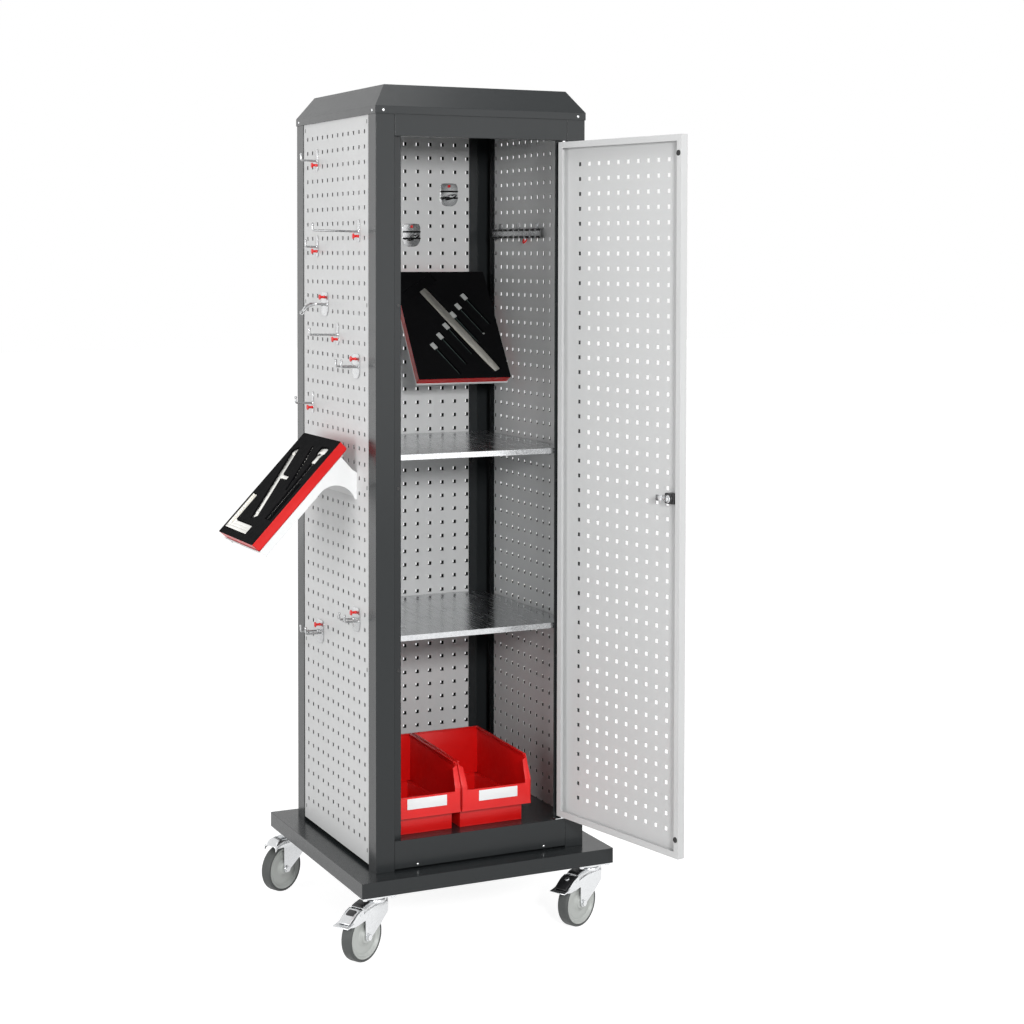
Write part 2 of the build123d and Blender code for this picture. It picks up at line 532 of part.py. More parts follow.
# nests as centre x, centre y, angle, length, width
GAUGE = [(47, 161, 115.6, 241, 30), (20, 139, 0, 50, 11)]
CALIPER = [(-84, 145, 92.3, 236, 16), (-78, 40, 0, 52, 22), (-80, 66, 0, 30, 26)]
SQUARE = [(111, 266, 90, 112, 34), (44, 308, 0, 168, 28)]
DIVIDER = [(-22, 88, 117.4, 120, 8), (-38, 120, 111, 110, 5)]
SCRIBERS = [(-116, 205, 90, 116, 5), (-105, 205, 90, 116, 5)]
FILE = [(-20, 188, 122.4, 310, 24)]
GRIPS = [(-59 + 25.6 * i, 81 + 31.3 * i, 122.4, 20, 14) for i in (0, 1, 1.85, 3, 4, 5)]
NEEDLES = [(x - 31, y + 49, a, 96, 4) for x, y, a, _, _ in GRIPS]
EMPTY = [(68, 48, 33, 110, 24)]


def tool(nests, height=6.0):
    """One flat tool lying in its nests."""
    with BuildPart() as p:
        for cx, cy, a, l, b in nests:
            with Locations(Location((cx, cy, -FOAM_DEPTH + height / 2), (0, 0, a))):
                Box(l, b, height)
    return p.part


# outer tray on the left wall, inner tray on the rear wall
OUTER = Plane(origin=(-333, -20, 1271), x_dir=(0, 1, 0), z_dir=(-0.7265, 0, 0.6872))
INNER = Plane(origin=(110, 243, 1695), x_dir=(-1, 0, 0), z_dir=(0, -0.8405, 0.5418))
outer_at, inner_at = OUTER.location, INNER.location
parts["tray_outer"] = tray.part.moved(outer_at)
parts["tray_inner"] = tray.part.moved(inner_at)
parts["foam_outer"] = foam(GAUGE + CALIPER + SQUARE + DIVIDER + SCRIBERS).moved(outer_at)
parts["foam_inner"] = foam(FILE + GRIPS + NEEDLES + EMPTY).moved(inner_at)
parts["bevel_gauge"] = tool(GAUGE).moved(outer_at)
parts["steel_square"] = tool(SQUARE, 7.0).moved(outer_at)
parts["caliper_and_scribers"] = Compound(
    [s for n in (CALIPER, DIVIDER, SCRIBERS[:1], SCRIBERS[1:]) for s in tool(n, 5.0).moved(outer_at).solids()]
)
parts["flat_file"] = tool(FILE, 7.0).moved(inner_at)
parts["needle_files"] = Compound(
    [s for i in range(6) for s in (tool([GRIPS[i], NEEDLES[i]], 5.0).moved(inner_at)).solids()]
)

# tray supports: a sheet under the tray, two gussets and a back plate with lugs in the perforations
SUP = -TRAY_T - 0.2     # underside of the tray
with BuildPart() as carrier:
    block(-TRAY_W / 2 + 1, TRAY_W / 2 - 1, 22, TRAY_L + 2, SUP - SHEET, SUP)
    block(-TRAY_W / 2 + 1, TRAY_W / 2 - 1, TRAY_L + 0.4, TRAY_L + 2, SUP - SHEET, SUP + 6)
WALL_X = -WALL_FACE - 0.2
with BuildPart() as support_outer:
    add(carrier.part.moved(outer_at))
    for y in (-156.0, 114.5):
        with BuildSketch(Plane.XZ.offset(-y)):
            with BuildLine():
                Polyline((WALL_X, 1122), (WALL_X, 1190), (-302, 1199), (-331, 1231.2), (-547, 1002.6))
                Polyline((-547, 1002.6), (-531, 990), (-394, 1134))
                ThreePointArc((-394, 1134), (-345, 1160), (-294, 1122))
                Line((-294, 1122), (WALL_X, 1122))
            make_face()
        extrude(amount=-SHEET)
    block(WALL_X - SHEET, WALL_X, -156, 116, 1128, 1190)
    for y in (-133.0, -19.0, 95.0):
        for z in (ROW_TOP - 23 * PITCH, ROW_TOP - 24 * PITCH):
            block(WALL_X - 1, WALL_X + 7, y - 4, y + 4, z - LUG_DROP, z + LUG - LUG_DROP)
parts["support_outer"] = support_outer.part

BACK_Y = IN - 0.2
with BuildPart() as support_inner:
    add(carrier.part.moved(inner_at))
    for x in (40.0, 178.0):
        with BuildSketch(Plane.YZ.offset(x)):
            with BuildLine():
                Polyline((BACK_Y, 1600), (BACK_Y, 1652), (245.6, 1646), (115.8, 1444.6), (122, 1434), close=True)
            make_face()
        extrude(amount=SHEET)
    block(40, 179.5, BACK_Y - SHEET, BACK_Y, 1600, 1652)
    for x in (57.0, 95.0, 171.0):
        for z in (ROW_TOP - 11 * PITCH, ):
            block(x - 4, x + 4, BACK_Y - 1, BACK_Y + 9, z - LUG_DROP, z + LUG - LUG_DROP)
parts["support_inner"] = support_inner.part

# ---------------------------------------------------------------- hooks in the perforations
# column, upper row, arm length, number of prongs, clip on top; double hooks hang in two columns
HOOKS = [
    (2, 1, 50, 1, False), (10, 6, 128, 1, False), (2, 7, 38, 1, False), (3.5, 11, 66, 2, True),
    (6, 13, 82, 1, False), (9.5, 15, 52, 2, True), (1, 18, 53, 1, False), (2.5, 34, 53, 2, True),
    (9.5, 32, 44, 2, True),
]
ROD = 3.0               # radius of the hook wire
PAIR = PITCH / 2        # lugs and prongs of a wide plate, from its middle


def plate_with_lugs(half, low, high, columns):
    """Back plate on a wall whose face is x = 0; the upper lugs are at z = 0."""
    block(-3.5, -0.2, -half, half, low, high)
    for y in columns:
        for z in (0, -PITCH):
            block(-1, 7, y - LUG / 2, y + LUG / 2, z - LUG_DROP, z + LUG - LUG_DROP)


def clip_knob(z):
    """Red locking knob: a stem and a disc."""
    with BuildPart() as c:
        with Locations(Location((-3.7, 0, z), (0, -90, 0))):
            Cylinder(3.6, 11, align=(Align.CENTER, Align.CENTER, Align.MIN))
        with Locations(Location((-14.7, 0, z), (0, -90, 0))):
            Cylinder(7, 4, align=(Align.CENTER, Align.CENTER, Align.MIN))
    return c.part


def hook(arm, prongs, on_top):
    """Hook whose arm runs towards -x."""
    with BuildPart() as p:
        if prongs == 2:
            plate_with_lugs(26.5, -52, 11, (-PAIR, PAIR))
        else:
            plate_with_lugs(10.5, -50, 9, (0, ))
        for y in ((-PAIR, PAIR) if prongs == 2 else (0, )):
            with Locations(Location((-2, y, -22), (0, -84, 0))):
                Cylinder(ROD, arm - 6, align=(Align.CENTER, Align.CENTER, Align.MIN))
            end = (-2 - (arm - 8), y, -22 + (arm - 8) * 0.105)
            with Locations(end):
                Sphere(ROD * 1.05)
                Cylinder(ROD, 14, align=(Align.CENTER, Align.CENTER, Align.MIN))
    return p.part, clip_knob(-2 if on_top else -33.5)


hooks, hook_clips = [], []
for col, row, arm, prongs, on_top in HOOKS:
    p, c = hook(arm, prongs, on_top)
    at = Location((-WALL_FACE, PITCH * ((WALL_COLS - 1) / 2 - col), ROW_TOP - PITCH * row))
    hooks += p.moved(at).solids()
    hook_clips += c.moved(at).solids()
# two spring holders on the rear wall inside
with BuildPart() as holder:
    plate_with_lugs(27, -58, 6, (-PAIR, PAIR))
    for z in (-16, -34):
        with Locations(Location((-6.5, 0, z), (90, 0, 0))):
            Cylinder(3.2, 54)
with BuildPart() as holder_clip:
    with Locations(Location((-3.7, 0, -1), (0, -90, 0))):
        Cylinder(3, 6, align=(Align.CENTER, Align.CENTER, Align.MIN))
for x, row in ((152.0, 3), (38.0, 6)):
    at = Location((x, IN, ROW_TOP - PITCH * row), (0, 0, 90))
    hooks += holder.part.moved(at).solids()
    hook_clips += holder_clip.part.moved(at).solids()
# tool rail on the right wall inside, a channel between two rows
RAIL_Y0, RAIL_Y1 = -97.0, 205.0
RAIL_Z0, RAIL_Z1 = 1788.0, 1814.0
with BuildPart() as rail:
    block(IN - 12, IN - 0.3, RAIL_Y0, RAIL_Y1, RAIL_Z0, RAIL_Z1)
    block(IN - 10.5, IN, RAIL_Y0 - 1, RAIL_Y1 + 1, RAIL_Z0 + SHEET, RAIL_Z1 - SHEET, Mode.SUBTRACT)
    z = ROW_TOP - 6 * PITCH
    for y in (-57.0, 57.0, 171.0):
        block(IN - 2.3, IN - 0.3, y - 9, y + 9, RAIL_Z1 - SHEET, z + 6)
        block(IN - 2, IN + 7, y - LUG / 2, y + LUG / 2, z - LUG_DROP, z + LUG - LUG_DROP)
hooks += rail.part.solids()
with BuildPart() as rail_clip:
    block(IN - 10, IN - 0.3, 2, 18, RAIL_Z0 - 16, RAIL_Z0 - 0.3)
hook_clips += rail_clip.part.solids()
parts["hooks"] = Compound(hooks)
parts["hook_clips"] = Compound(hook_clips)

# ---------------------------------------------------------------- export
os.makedirs("parts", exist_ok=True)
for name, shape in parts.items():
    shape.label = name
    export_step(shape, f"parts/{name}.step", write_pcurves=False)
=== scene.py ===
"""Mobile tool cabinet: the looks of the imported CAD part.

Lengths named here are in millimetres, like the part's source; mm() turns them into Blender's metres.
Angles are in degrees where they have a name or stand in a table, and noise scales are per metre.
"""
import json
import math

import bmesh
import bpy
from mathutils import Matrix, Vector


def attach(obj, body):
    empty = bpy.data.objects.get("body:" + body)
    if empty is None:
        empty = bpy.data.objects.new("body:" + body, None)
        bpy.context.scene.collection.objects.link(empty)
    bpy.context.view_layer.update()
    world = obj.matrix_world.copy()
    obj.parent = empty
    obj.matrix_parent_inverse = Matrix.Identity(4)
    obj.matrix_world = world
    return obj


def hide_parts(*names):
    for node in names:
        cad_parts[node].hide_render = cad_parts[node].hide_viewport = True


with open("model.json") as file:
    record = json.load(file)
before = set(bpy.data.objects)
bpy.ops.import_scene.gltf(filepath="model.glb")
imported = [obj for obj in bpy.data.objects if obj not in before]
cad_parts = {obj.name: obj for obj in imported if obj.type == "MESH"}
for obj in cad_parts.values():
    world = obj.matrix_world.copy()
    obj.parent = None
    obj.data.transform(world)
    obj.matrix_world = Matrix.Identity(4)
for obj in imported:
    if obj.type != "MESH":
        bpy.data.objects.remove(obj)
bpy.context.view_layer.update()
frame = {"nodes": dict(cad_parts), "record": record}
NODES = frame["nodes"]


# ================================================================ dimensions shared with the CAD part
INNER = 270.0           # inner face of the walls
WALL_FACE = 288.5       # outer face of the walls
PITCH = 38.0            # of the square holes
COLS = 12
ROW_TOP = 2051.0        # middle of the highest row of holes
BASE_BOTTOM = 160.0

DOOR_OPEN = 101.5
HINGE = (232.5, -286.0)
DOOR_FRONT = -291.0     # outer face of the closed door
DOOR_SHEET = 1.2
LOCK_X, LOCK_Z = -196.0, 1155.0

CASTER_AT = 301.0       # swivel axes, from the middle in x and in y
CASTERS = {             # side in x, side in y, turn of the swivel
    "front_left": (-1, -1, -150.0),
    "front_right": (1, -1, -155.0),
    "rear_left": (-1, 1, -153.0),
    "rear_right": (1, 1, -153.0),
}
TRAIL = 48.0            # from the swivel axis to the wheel's axle
WHEEL_R, WHEEL_W, RIM_R = 62.5, 32.0, 55.5
FORK_HALF = WHEEL_W / 2 + 6     # outer faces of the fork's side plates
BRAKE_PIVOT = (77, 124)         # along the fork, height
DISH_TOP = BASE_BOTTOM - 12.3

FLOOR_TOP = 269.0
BIN_W, BIN_L, BIN_H = 196.0, 333.0, 175.0
BIN_FRONT = -265.0
BIN_XS = {"right": 53.4, "left": -145.5}

TRAY_W, TRAY_L, TRAY_T = 274.0, 342.0, 28.0
NEST = -7.5             # floor of the nests under the tray's face

# ================================================================ sizes of the dressing alone
WALL_SKIN = 1.3         # depth from a wall's face that keeps the paint's colour; deeper, in the cavity, shade is painted near black
CORE = 0.05             # radius at which a solid turned shape ends beside its axis
FORK_SHEET = 2.5
BIN_WALL = 2.6


def mm(*v):
    return Vector([a / 1000 for a in v])


def frame_at(origin, x_dir, z_dir):
    """Matrix of a local frame given by its origin in millimetres, its x direction and its z direction."""
    z = Vector(z_dir).normalized()
    x = Vector(x_dir).normalized()
    y = z.cross(x)
    m = Matrix((x, y, z)).transposed().to_4x4()
    m.translation = mm(*origin)
    return m


def turned(origin, degrees):
    m = Matrix.Rotation(math.radians(degrees), 4, "Z")
    m.translation = mm(*origin)
    return m


# ================================================================ materials
def shader(name, color, roughness, metallic=0.0, **sockets):
    """A node material; returns the material, its node tree and its shader."""
    m = bpy.data.materials.new(name)
    m.use_nodes = True
    b = m.node_tree.nodes["Principled BSDF"]
    b.inputs["Base Color"].default_value = (*color, 1)
    b.inputs["Roughness"].default_value = roughness
    b.inputs["Metallic"].default_value = metallic
    for k, v in sockets.items():
        b.inputs[k.replace("_", " ")].default_value = v
    return m, m.node_tree, b


def node(tree, kind, **values):
    """A node with its input sockets or its properties set."""
    n = tree.nodes.new(kind)
    for k, v in values.items():
        if k in n.inputs:
            n.inputs[k].default_value = v
        else:
            setattr(n, k, v)
    return n


def calc(tree, operation, *terms):
    """A math node over sockets and numbers; returns its result socket."""
    n = node(tree, "ShaderNodeMath", operation=operation)
    for term, socket in zip(terms, n.inputs):
        if isinstance(term, bpy.types.NodeSocket):
            tree.links.new(term, socket)
        else:
            socket.default_value = term
    return n.outputs[0]


def noise(tree, scale, stretch=(1, 1, 1), detail=2.0):
    """Noise in object space; returns its factor socket."""
    co = node(tree, "ShaderNodeTexCoord")
    mp = node(tree, "ShaderNodeMapping")
    mp.inputs["Scale"].default_value = stretch
    tree.links.new(co.outputs["Object"], mp.inputs["Vector"])
    n = node(tree, "ShaderNodeTexNoise", Scale=scale, Detail=detail)
    tree.links.new(mp.outputs["Vector"], n.inputs["Vector"])
    return n.outputs["Fac"]


def ramp(tree, fac, low, high, a=0.3, b=0.7):
    """Maps a factor from the range a to b to the range low to high."""
    r = node(tree, "ShaderNodeMapRange")
    r.inputs["From Min"].default_value, r.inputs["From Max"].default_value = a, b
    r.inputs["To Min"].default_value, r.inputs["To Max"].default_value = low, high
    tree.links.new(fac, r.inputs["Value"])
    return r.outputs["Result"]


def tint(tree, fac, low, high):
    """Blends two colours by a factor."""
    mix = node(tree, "ShaderNodeMix", data_type="RGBA")
    mix.inputs["A"].default_value = (*low, 1)
    mix.inputs["B"].default_value = (*high, 1)
    tree.links.new(fac, mix.inputs["Factor"])
    return mix.outputs["Result"]


def relief(tree, shader_node, fac, height, round_edges=0.0):
    """Bump of a height from a factor, over edges softened by a radius."""
    b = node(tree, "ShaderNodeBump")
    b.inputs["Distance"].default_value = height / 1000
    tree.links.new(fac, b.inputs["Height"])
    if round_edges:
        edge = node(tree, "ShaderNodeBevel", samples=4)
        edge.inputs["Radius"].default_value = round_edges / 1000
        tree.links.new(edge.outputs["Normal"], b.inputs["Normal"])
    tree.links.new(b.outputs["Normal"], shader_node.inputs["Normal"])


def coat(made, roughness, tone, sheen, bump, low, high, depth, edge):
    """Lays drifting colour, drifting roughness and relief, each over its own noise, on a shader."""
    m, t, b = made
    t.links.new(tint(t, noise(t, *tone), low, high), b.inputs["Base Color"])
    t.links.new(ramp(t, noise(t, *sheen), *roughness), b.inputs["Roughness"])
    relief(t, b, noise(t, *bump), depth, edge)
    return m


PLAIN = (1, 1, 1)       # noise that isn't stretched


def paint(name, low, high, roughness, edge, peel=0.05, **sockets):
    """Stoved paint: slight tone drift, orange peel and soft folded edges."""
    made = shader(name, high, roughness[0], **sockets)
    return coat(made, roughness, (3.0, ), (60.0, ), (420.0, PLAIN, 1.0), low, high, peel, edge)


def metal(name, low, high, roughness, scale=200.0, depth=0.01, edge=0.6):
    made = shader(name, high, roughness[0], 1.0)
    return coat(made, roughness, (scale, PLAIN, 3.0), (scale * 0.6, ), (scale * 2, ), low, high, depth, edge)


def plastic(name, low, high, roughness, scale=900.0, depth=0.03, edge=0.8, **sockets):
    made = shader(name, high, roughness[0], **sockets)
    return coat(made, roughness, (8.0, ), (90.0, ), (scale, ), low, high, depth, edge)


def galvanised():
    """Zinc-coated sheet: soft crystals under rolled streaks."""
    m, t, b = shader("galvanised_sheet", (0.6, 0.61, 0.62), 0.2, 1.0)
    co = node(t, "ShaderNodeTexCoord")
    cells = node(t, "ShaderNodeTexVoronoi", Scale=90.0)
    t.links.new(co.outputs["Object"], cells.inputs["Vector"])
    crystals = ramp(t, cells.outputs["Distance"], 0, 1, 0, 1)
    t.links.new(tint(t, crystals, (0.5, 0.51, 0.52), (0.6, 0.61, 0.62)), b.inputs["Base Color"])
    t.links.new(ramp(t, noise(t, 260.0, (1, 0.04, 1), 3.0), 0.14, 0.3), b.inputs["Roughness"])
    relief(t, b, noise(t, 300.0, (1, 0.05, 1)), 0.01, 0.7)
    return m


def perforated_wall():
    """The walls' paint, with painted shade: the cavity between their two sheets is coloured near black."""
    m = paint("wall_grey_paint", (0.62, 0.625, 0.625), (0.66, 0.665, 0.665), (0.38, 0.46), 0.0, peel=0.01)
    t = m.node_tree
    color = t.nodes["Principled BSDF"].inputs["Base Color"]
    where = node(t, "ShaderNodeSeparateXYZ")
    t.links.new(node(t, "ShaderNodeTexCoord").outputs["Object"], where.inputs[0])
    reach = calc(t, "MAXIMUM", *[calc(t, "ABSOLUTE", where.outputs[axis]) for axis in "XY"])
    between = calc(t, "MULTIPLY", calc(t, "GREATER_THAN", reach, (INNER + WALL_SKIN) / 1000),
                   calc(t, "LESS_THAN", reach, (WALL_FACE - WALL_SKIN) / 1000))
    # painted shade: the cavity between the sheets, seen through the holes, is coloured near black
    dark = node(t, "ShaderNodeMix", data_type="RGBA")
    t.links.new(color.links[0].from_socket, dark.inputs["A"])
    dark.inputs["B"].default_value = (0.01, 0.01, 0.01, 1)
    t.links.new(between, dark.inputs["Factor"])
    t.links.new(dark.outputs["Result"], color)
    return m


MAT = {
    "anthracite": paint("anthracite_paint", (0.017, 0.0195, 0.0205), (0.020, 0.0225, 0.024), (0.22, 0.27),
                        2.6, peel=0.006, Specular_IOR_Level=0.29),
    "light_grey": paint("light_grey_paint", (0.60, 0.605, 0.605), (0.64, 0.645, 0.645), (0.38, 0.46), 0.8,
                        peel=0.01),
    # wall paint with painted shade in the cavity behind the holes
    "wall_grey": perforated_wall(),
    "galvanised": galvanised(),
    "zinc": metal("bright_zinc", (0.62, 0.63, 0.64), (0.75, 0.76, 0.77), (0.14, 0.26)),
    "chrome": metal("nickel_wire", (0.36, 0.365, 0.37), (0.46, 0.465, 0.47), (0.2, 0.32)),
    "white_sheet": paint("white_paint", (0.76, 0.77, 0.77), (0.80, 0.81, 0.81), (0.34, 0.42), 1.0),
    "red_plastic": plastic("red_plastic", (0.66, 0.004, 0.004), (0.74, 0.006, 0.005), (0.32, 0.42)),
    "white_plastic": plastic("white_label_card", (0.80, 0.81, 0.82), (0.84, 0.85, 0.85), (0.5, 0.6)),
    "black_plastic": plastic("black_plastic", (0.008, 0.008, 0.009), (0.014, 0.014, 0.015), (0.3, 0.42)),
    "black_foam": plastic("black_foam", (0.002, 0.002, 0.0025), (0.005, 0.005, 0.0055), (0.85, 0.95),
                          scale=1400.0, depth=0.3, edge=1.0, Specular_IOR_Level=0.06),
    "rubber": plastic("black_rubber", (0.012, 0.012, 0.012), (0.018, 0.018, 0.018), (0.6, 0.7)),
    "tyre_grey": plastic("grey_rubber", (0.055, 0.06, 0.058), (0.072, 0.077, 0.075), (0.5, 0.6)),
    "rim_grey": plastic("grey_moulded_rim", (0.46, 0.48, 0.46), (0.52, 0.54, 0.52), (0.32, 0.42)),
    "tool_steel": metal("ground_tool_steel", (0.62, 0.61, 0.58), (0.74, 0.73, 0.70), (0.22, 0.36)),
    "black_bars": metal("blackened_spring_wire", (0.012, 0.012, 0.012), (0.03, 0.03, 0.03), (0.3, 0.45),
                        edge=0.2),
    "file_steel": metal("cross_cut_file", (0.55, 0.53, 0.48), (0.78, 0.76, 0.70), (0.35, 0.5),
                        scale=700.0, depth=0.12, edge=0.5),
    "dark_steel": metal("blued_needle_steel", (0.03, 0.045, 0.042), (0.06, 0.08, 0.075), (0.3, 0.45),
                        edge=0.2),
    "grip_grey": plastic("pale_grip", (0.36, 0.37, 0.36), (0.42, 0.43, 0.42), (0.4, 0.5)),
}

# finishes that share a material slot of the record
# nodes with a finish of their own
FINISH = {"wall_left": "wall_grey", "wall_rear": "wall_grey", "wall_right": "wall_grey"}

for sub in frame["record"]["subparts"]:
    cad = NODES[sub["node"]]
    cad.data.materials.clear()
    cad.data.materials.append(MAT[FINISH.get(sub["node"], sub["material_slot"])])


# ================================================================ mesh helpers
def piece(name, verts, faces, material, body, replaces=(), at=Matrix(), bevel=0.0, flat=35.0):
    """A mesh in millimetres of a local frame, smooth except over sharp edges, riding on a body."""
    me = bpy.data.meshes.new(name)
    bm = bmesh.new()
    made = [bm.verts.new(mm(*v)) for v in verts]
    for f in faces:
        bm.faces.new([made[i] for i in f])
    bmesh.ops.recalc_face_normals(bm, faces=bm.faces)
    if bevel:
        sharp = [e for e in bm.edges if len(e.link_faces) == 2 and e.calc_face_angle(0) > math.radians(flat)]
        bmesh.ops.bevel(bm, geom=sharp, offset=bevel / 1000, segments=2, profile=0.6, affect="EDGES",
                        clamp_overlap=True)
    bm.to_mesh(me)
    bm.free()
    me.transform(at)
    for p in me.polygons:
        p.use_smooth = True
    me.set_sharp_from_angle(angle=math.radians(flat))
    o = bpy.data.objects.new(name, me)
    bpy.context.scene.collection.objects.link(o)
    me.materials.append(MAT[material])
    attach(o, body)
    if replaces:
        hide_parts(*replaces)
    return o


def merge(*shapes):
    """Joins (verts, faces) shapes into one."""
    verts, faces = [], []
    for v, f in shapes:
        faces += [[i + len(verts) for i in g] for g in f]
        verts += list(v)
    return verts, faces


def moved(shape, m):
    """A shape moved by a matrix whose translation is in millimetres."""
    return [tuple(m @ Vector(v)) for v in shape[0]], shape[1]


def lathe(profile, segments=72, closed=True):
    """Turns a list of (radius, height) about local z; closed profiles make a ring."""
    verts, faces = [], []
    n = len(profile)
    for i in range(segments):
        a = 2 * math.pi * i / segments
        verts += [(r * math.cos(a), r * math.sin(a), h) for r, h in profile]
    for i in range(segments):
        j = (i + 1) % segments
        for k in range(n if closed else n - 1):
            l = (k + 1) % n
            faces.append([i * n + k, j * n + k, j * n + l, i * n + l])
    if not closed:
        faces.append([i * n for i in range(segments)][::-1])
        faces.append([i * n + n - 1 for i in range(segments)])
    return verts, faces


def ring(inner, outer, h0, h1, segments):
    """Flat washer about local z."""
    return lathe([(inner, h0), (outer, h0), (outer, h1), (inner, h1)], segments)


def disc(radius, h0, h1, segments=24):
    """Round plate about local z."""
    return lathe([(CORE, h0), (radius, h0), (radius, h1), (CORE, h1)], segments, False)


def prism(points, z0, z1):
    """A polygon in local xy, extruded from z0 to z1."""
    n = len(points)
    verts = [(x, y, z0) for x, y in points] + [(x, y, z1) for x, y in points]
    faces = [list(range(n))[::-1], list(range(n, 2 * n))]
    faces += [[i, (i + 1) % n, n + (i + 1) % n, n + i] for i in range(n)]
    return verts, faces


def brick(x0, x1, y0, y1, z0, z1):
    return prism([(x0, y0), (x1, y0), (x1, y1), (x0, y1)], z0, z1)


def span(side, a, b):
    """The range between a and b on one side of zero, in rising order."""
    return sorted((side * a, side * b))


def hexagon(r, h0, h1):
    corners = [math.radians(60 * k + 12) for k in range(6)]
    return prism([(r * math.cos(a), r * math.sin(a)) for a in corners], h0, h1)


def bend(a, p, b, share, radius):
    """Start, corner and end of the curve that replaces the corner p between a and b."""
    r = min(radius, (a - p).length * share, (b - p).length * share)
    return p + (a - p).normalized() * r, p, p + (b - p).normalized() * r


def curve(s, p, e, t):
    return s * (1 - t) ** 2 + p * 2 * t * (1 - t) + e * t * t


def rounded(points, radius, steps=5):
    """A closed polygon with its corners rounded."""
    out = []
    for i, p in enumerate(points):
        corner = bend(Vector(points[i - 1]), Vector(p), Vector(points[(i + 1) % len(points)]), 0.45, radius)
        out += [tuple(curve(*corner, k / steps)) for k in range(steps + 1)]
    return out


def tube(rings, n):
    """Faces of a skin over rings of n points each."""
    faces = []
    for i in range(rings - 1):
        for k in range(n):
            l = (k + 1) % n
            faces.append([i * n + k, i * n + l, (i + 1) * n + l, (i + 1) * n + k])
    return faces


def wire(path, radius, bends=6.0, around=14):
    """A round rod along a 3D path with rounded bends and chamfered ends."""
    pts = [Vector(p) for p in path]
    line = [pts[0]]
    for a, p, b in zip(pts, pts[1:], pts[2:]):
        corner = bend(a, p, b, 0.48, bends)
        line += [curve(*corner, t) for t in (0, 0.2, 0.4, 0.6, 0.8, 1)]
    line.append(pts[-1])
    rings = {0: [(0.55, 0.0), (1, 0.45)], len(line) - 1: [(1, -0.45), (0.55, 0.0)]}   # shares of the radius
    verts = []
    normal = None
    for i, p in enumerate(line):
        d = (line[min(i + 1, len(line) - 1)] - line[max(i - 1, 0)]).normalized()
        if normal is None:
            normal = d.orthogonal().normalized()
        normal = (normal - d * normal.dot(d)).normalized()
        side = d.cross(normal)
        for f, back in rings.get(i, [(1, 0.0)]):
            for k in range(around):
                a = 2 * math.pi * k / around
                out = (normal * math.cos(a) + side * math.sin(a)) * radius * f
                verts.append(tuple(p + d * radius * back + out))
    n = len(verts) // around
    faces = tube(n, around)
    faces.append(list(range(around))[::-1])
    faces.append([(n - 1) * around + k for k in range(around)])
    return verts, faces


X_AXIS = Matrix.Rotation(math.radians(90), 4, "Y")      # turns local z to x
Y_AXIS = Matrix.Rotation(math.radians(-90), 4, "X")     # turns local z to y
XZ_PLANE = Matrix(((1, 0, 0, 0), (0, 0, -1, 0), (0, 1, 0, 0), (0, 0, 0, 1)))    # local xy to xz, z to -y
YZ_PLANE = Matrix(((0, 0, 1, 0), (1, 0, 0, 0), (0, 1, 0, 0), (0, 0, 0, 1)))     # local xy to yz, z to x


# ================================================================ casters
LEG = [(-30, 143), (-30, 107), (-1, 83), (34, 60), (41, 53), (53, 53), (58, 60)]
ARMS = {
    "braked": [(58, 107), (80, 103), (101, 101), (114, 103), (115, 108), (88, 129), (70, 136), (62, 133),
               (-22, 143)],
    "plain": [(58, 124), (90, 125), (92, 130), (84, 134), (62, 138), (-22, 143)],
}
CROWNS = {
    "braked": [(-30, 143), (-28, 145.6), (-24, 147), (12, 147), (30, 146.8), (44, 144.4), (58, 141),
               (66, 138.6)],
    "plain": [(-30, 143), (-28, 145.6), (-24, 147), (12, 147), (60, 147), (74, 144.6), (84, 140),
              (91, 132.5)],
}
SHOULDER = 9            # bend between the crown and its skirts
SKIRT = 15              # height of the crown with its skirts
# section of the swaged dish over the crown as (radius, depth under its top)
DISH = [(8, 0.2), (25, 0.2), (29.4, 1.2), (31, 3.6), (31, 7.5), (29.5, 9.6), (26, 10), (8, 10)]


def stamped_fork(kind):
    """An upside-down U along x: a crown with rounded shoulders between two side plates."""
    outer, t = FORK_HALF, FORK_SHEET
    plate = rounded([*LEG, *ARMS[kind]], 4.0)
    shapes = [moved(prism(plate, *span(s, outer, outer - t)), XZ_PLANE) for s in (-1, 1)]
    verts = []
    for u, top in CROWNS[kind]:
        arc = [(outer - SHOULDER + SHOULDER * math.cos(a), top - SHOULDER + SHOULDER * math.sin(a))
               for a in (0, 0.4, 0.8, 1.2, math.pi / 2)]
        half = [(outer, top - SKIRT), *arc]
        over = half + [(-y, z) for y, z in half[::-1]]
        under = [(y * (outer - t) / outer, z - t * (z - top + SKIRT) / SKIRT) for y, z in over]
        verts += [(u, y, z) for y, z in over + under[::-1]]
    n = len(over) * 2
    faces = tube(len(CROWNS[kind]), n)
    e = (len(CROWNS[kind]) - 1) * n
    for k in range(n // 2 - 1):
        faces.append([k, k + 1, n - 2 - k, n - 1 - k])
        faces.append([e + k, e + n - 1 - k, e + n - 2 - k, e + k + 1])
    return merge(*shapes, (verts, faces))


def mirrored(half):
    """A closed section of (radius, height) from its upper half."""
    return half + [(r, -h) for r, h in half[::-1]]


def tyre_profile():
    r, w = WHEEL_R, WHEEL_W / 2
    return mirrored([(RIM_R, w - 2.2), (56.4, w - 0.8), (58.2, w - 0.2), (60.2, w - 0.9), (61.7, w - 2.8),
                     (r, w - 5.6), (r, w - 9)])


def rim_profile():
    """The moulded rim from its seat to its bore."""
    return mirrored([(RIM_R, 13.2), (55.1, 14.8), (53.6, 15.3), (51.8, 14.6), (50.4, 11.8), (47.6, 8.8),
                     (44.6, 7.6), (43.2, 8.0), (42.0, 9.2), (40.0, 9.7), (30, 9.2), (24, 9.4), (22.2, 10.4),
                     (20.6, 12.4), (18.4, 12.9), (17.2, 14.0), (16.4, 16.4), (15.4, 17.7), (13.8, 18.0),
                     (5.2, 18.0)])


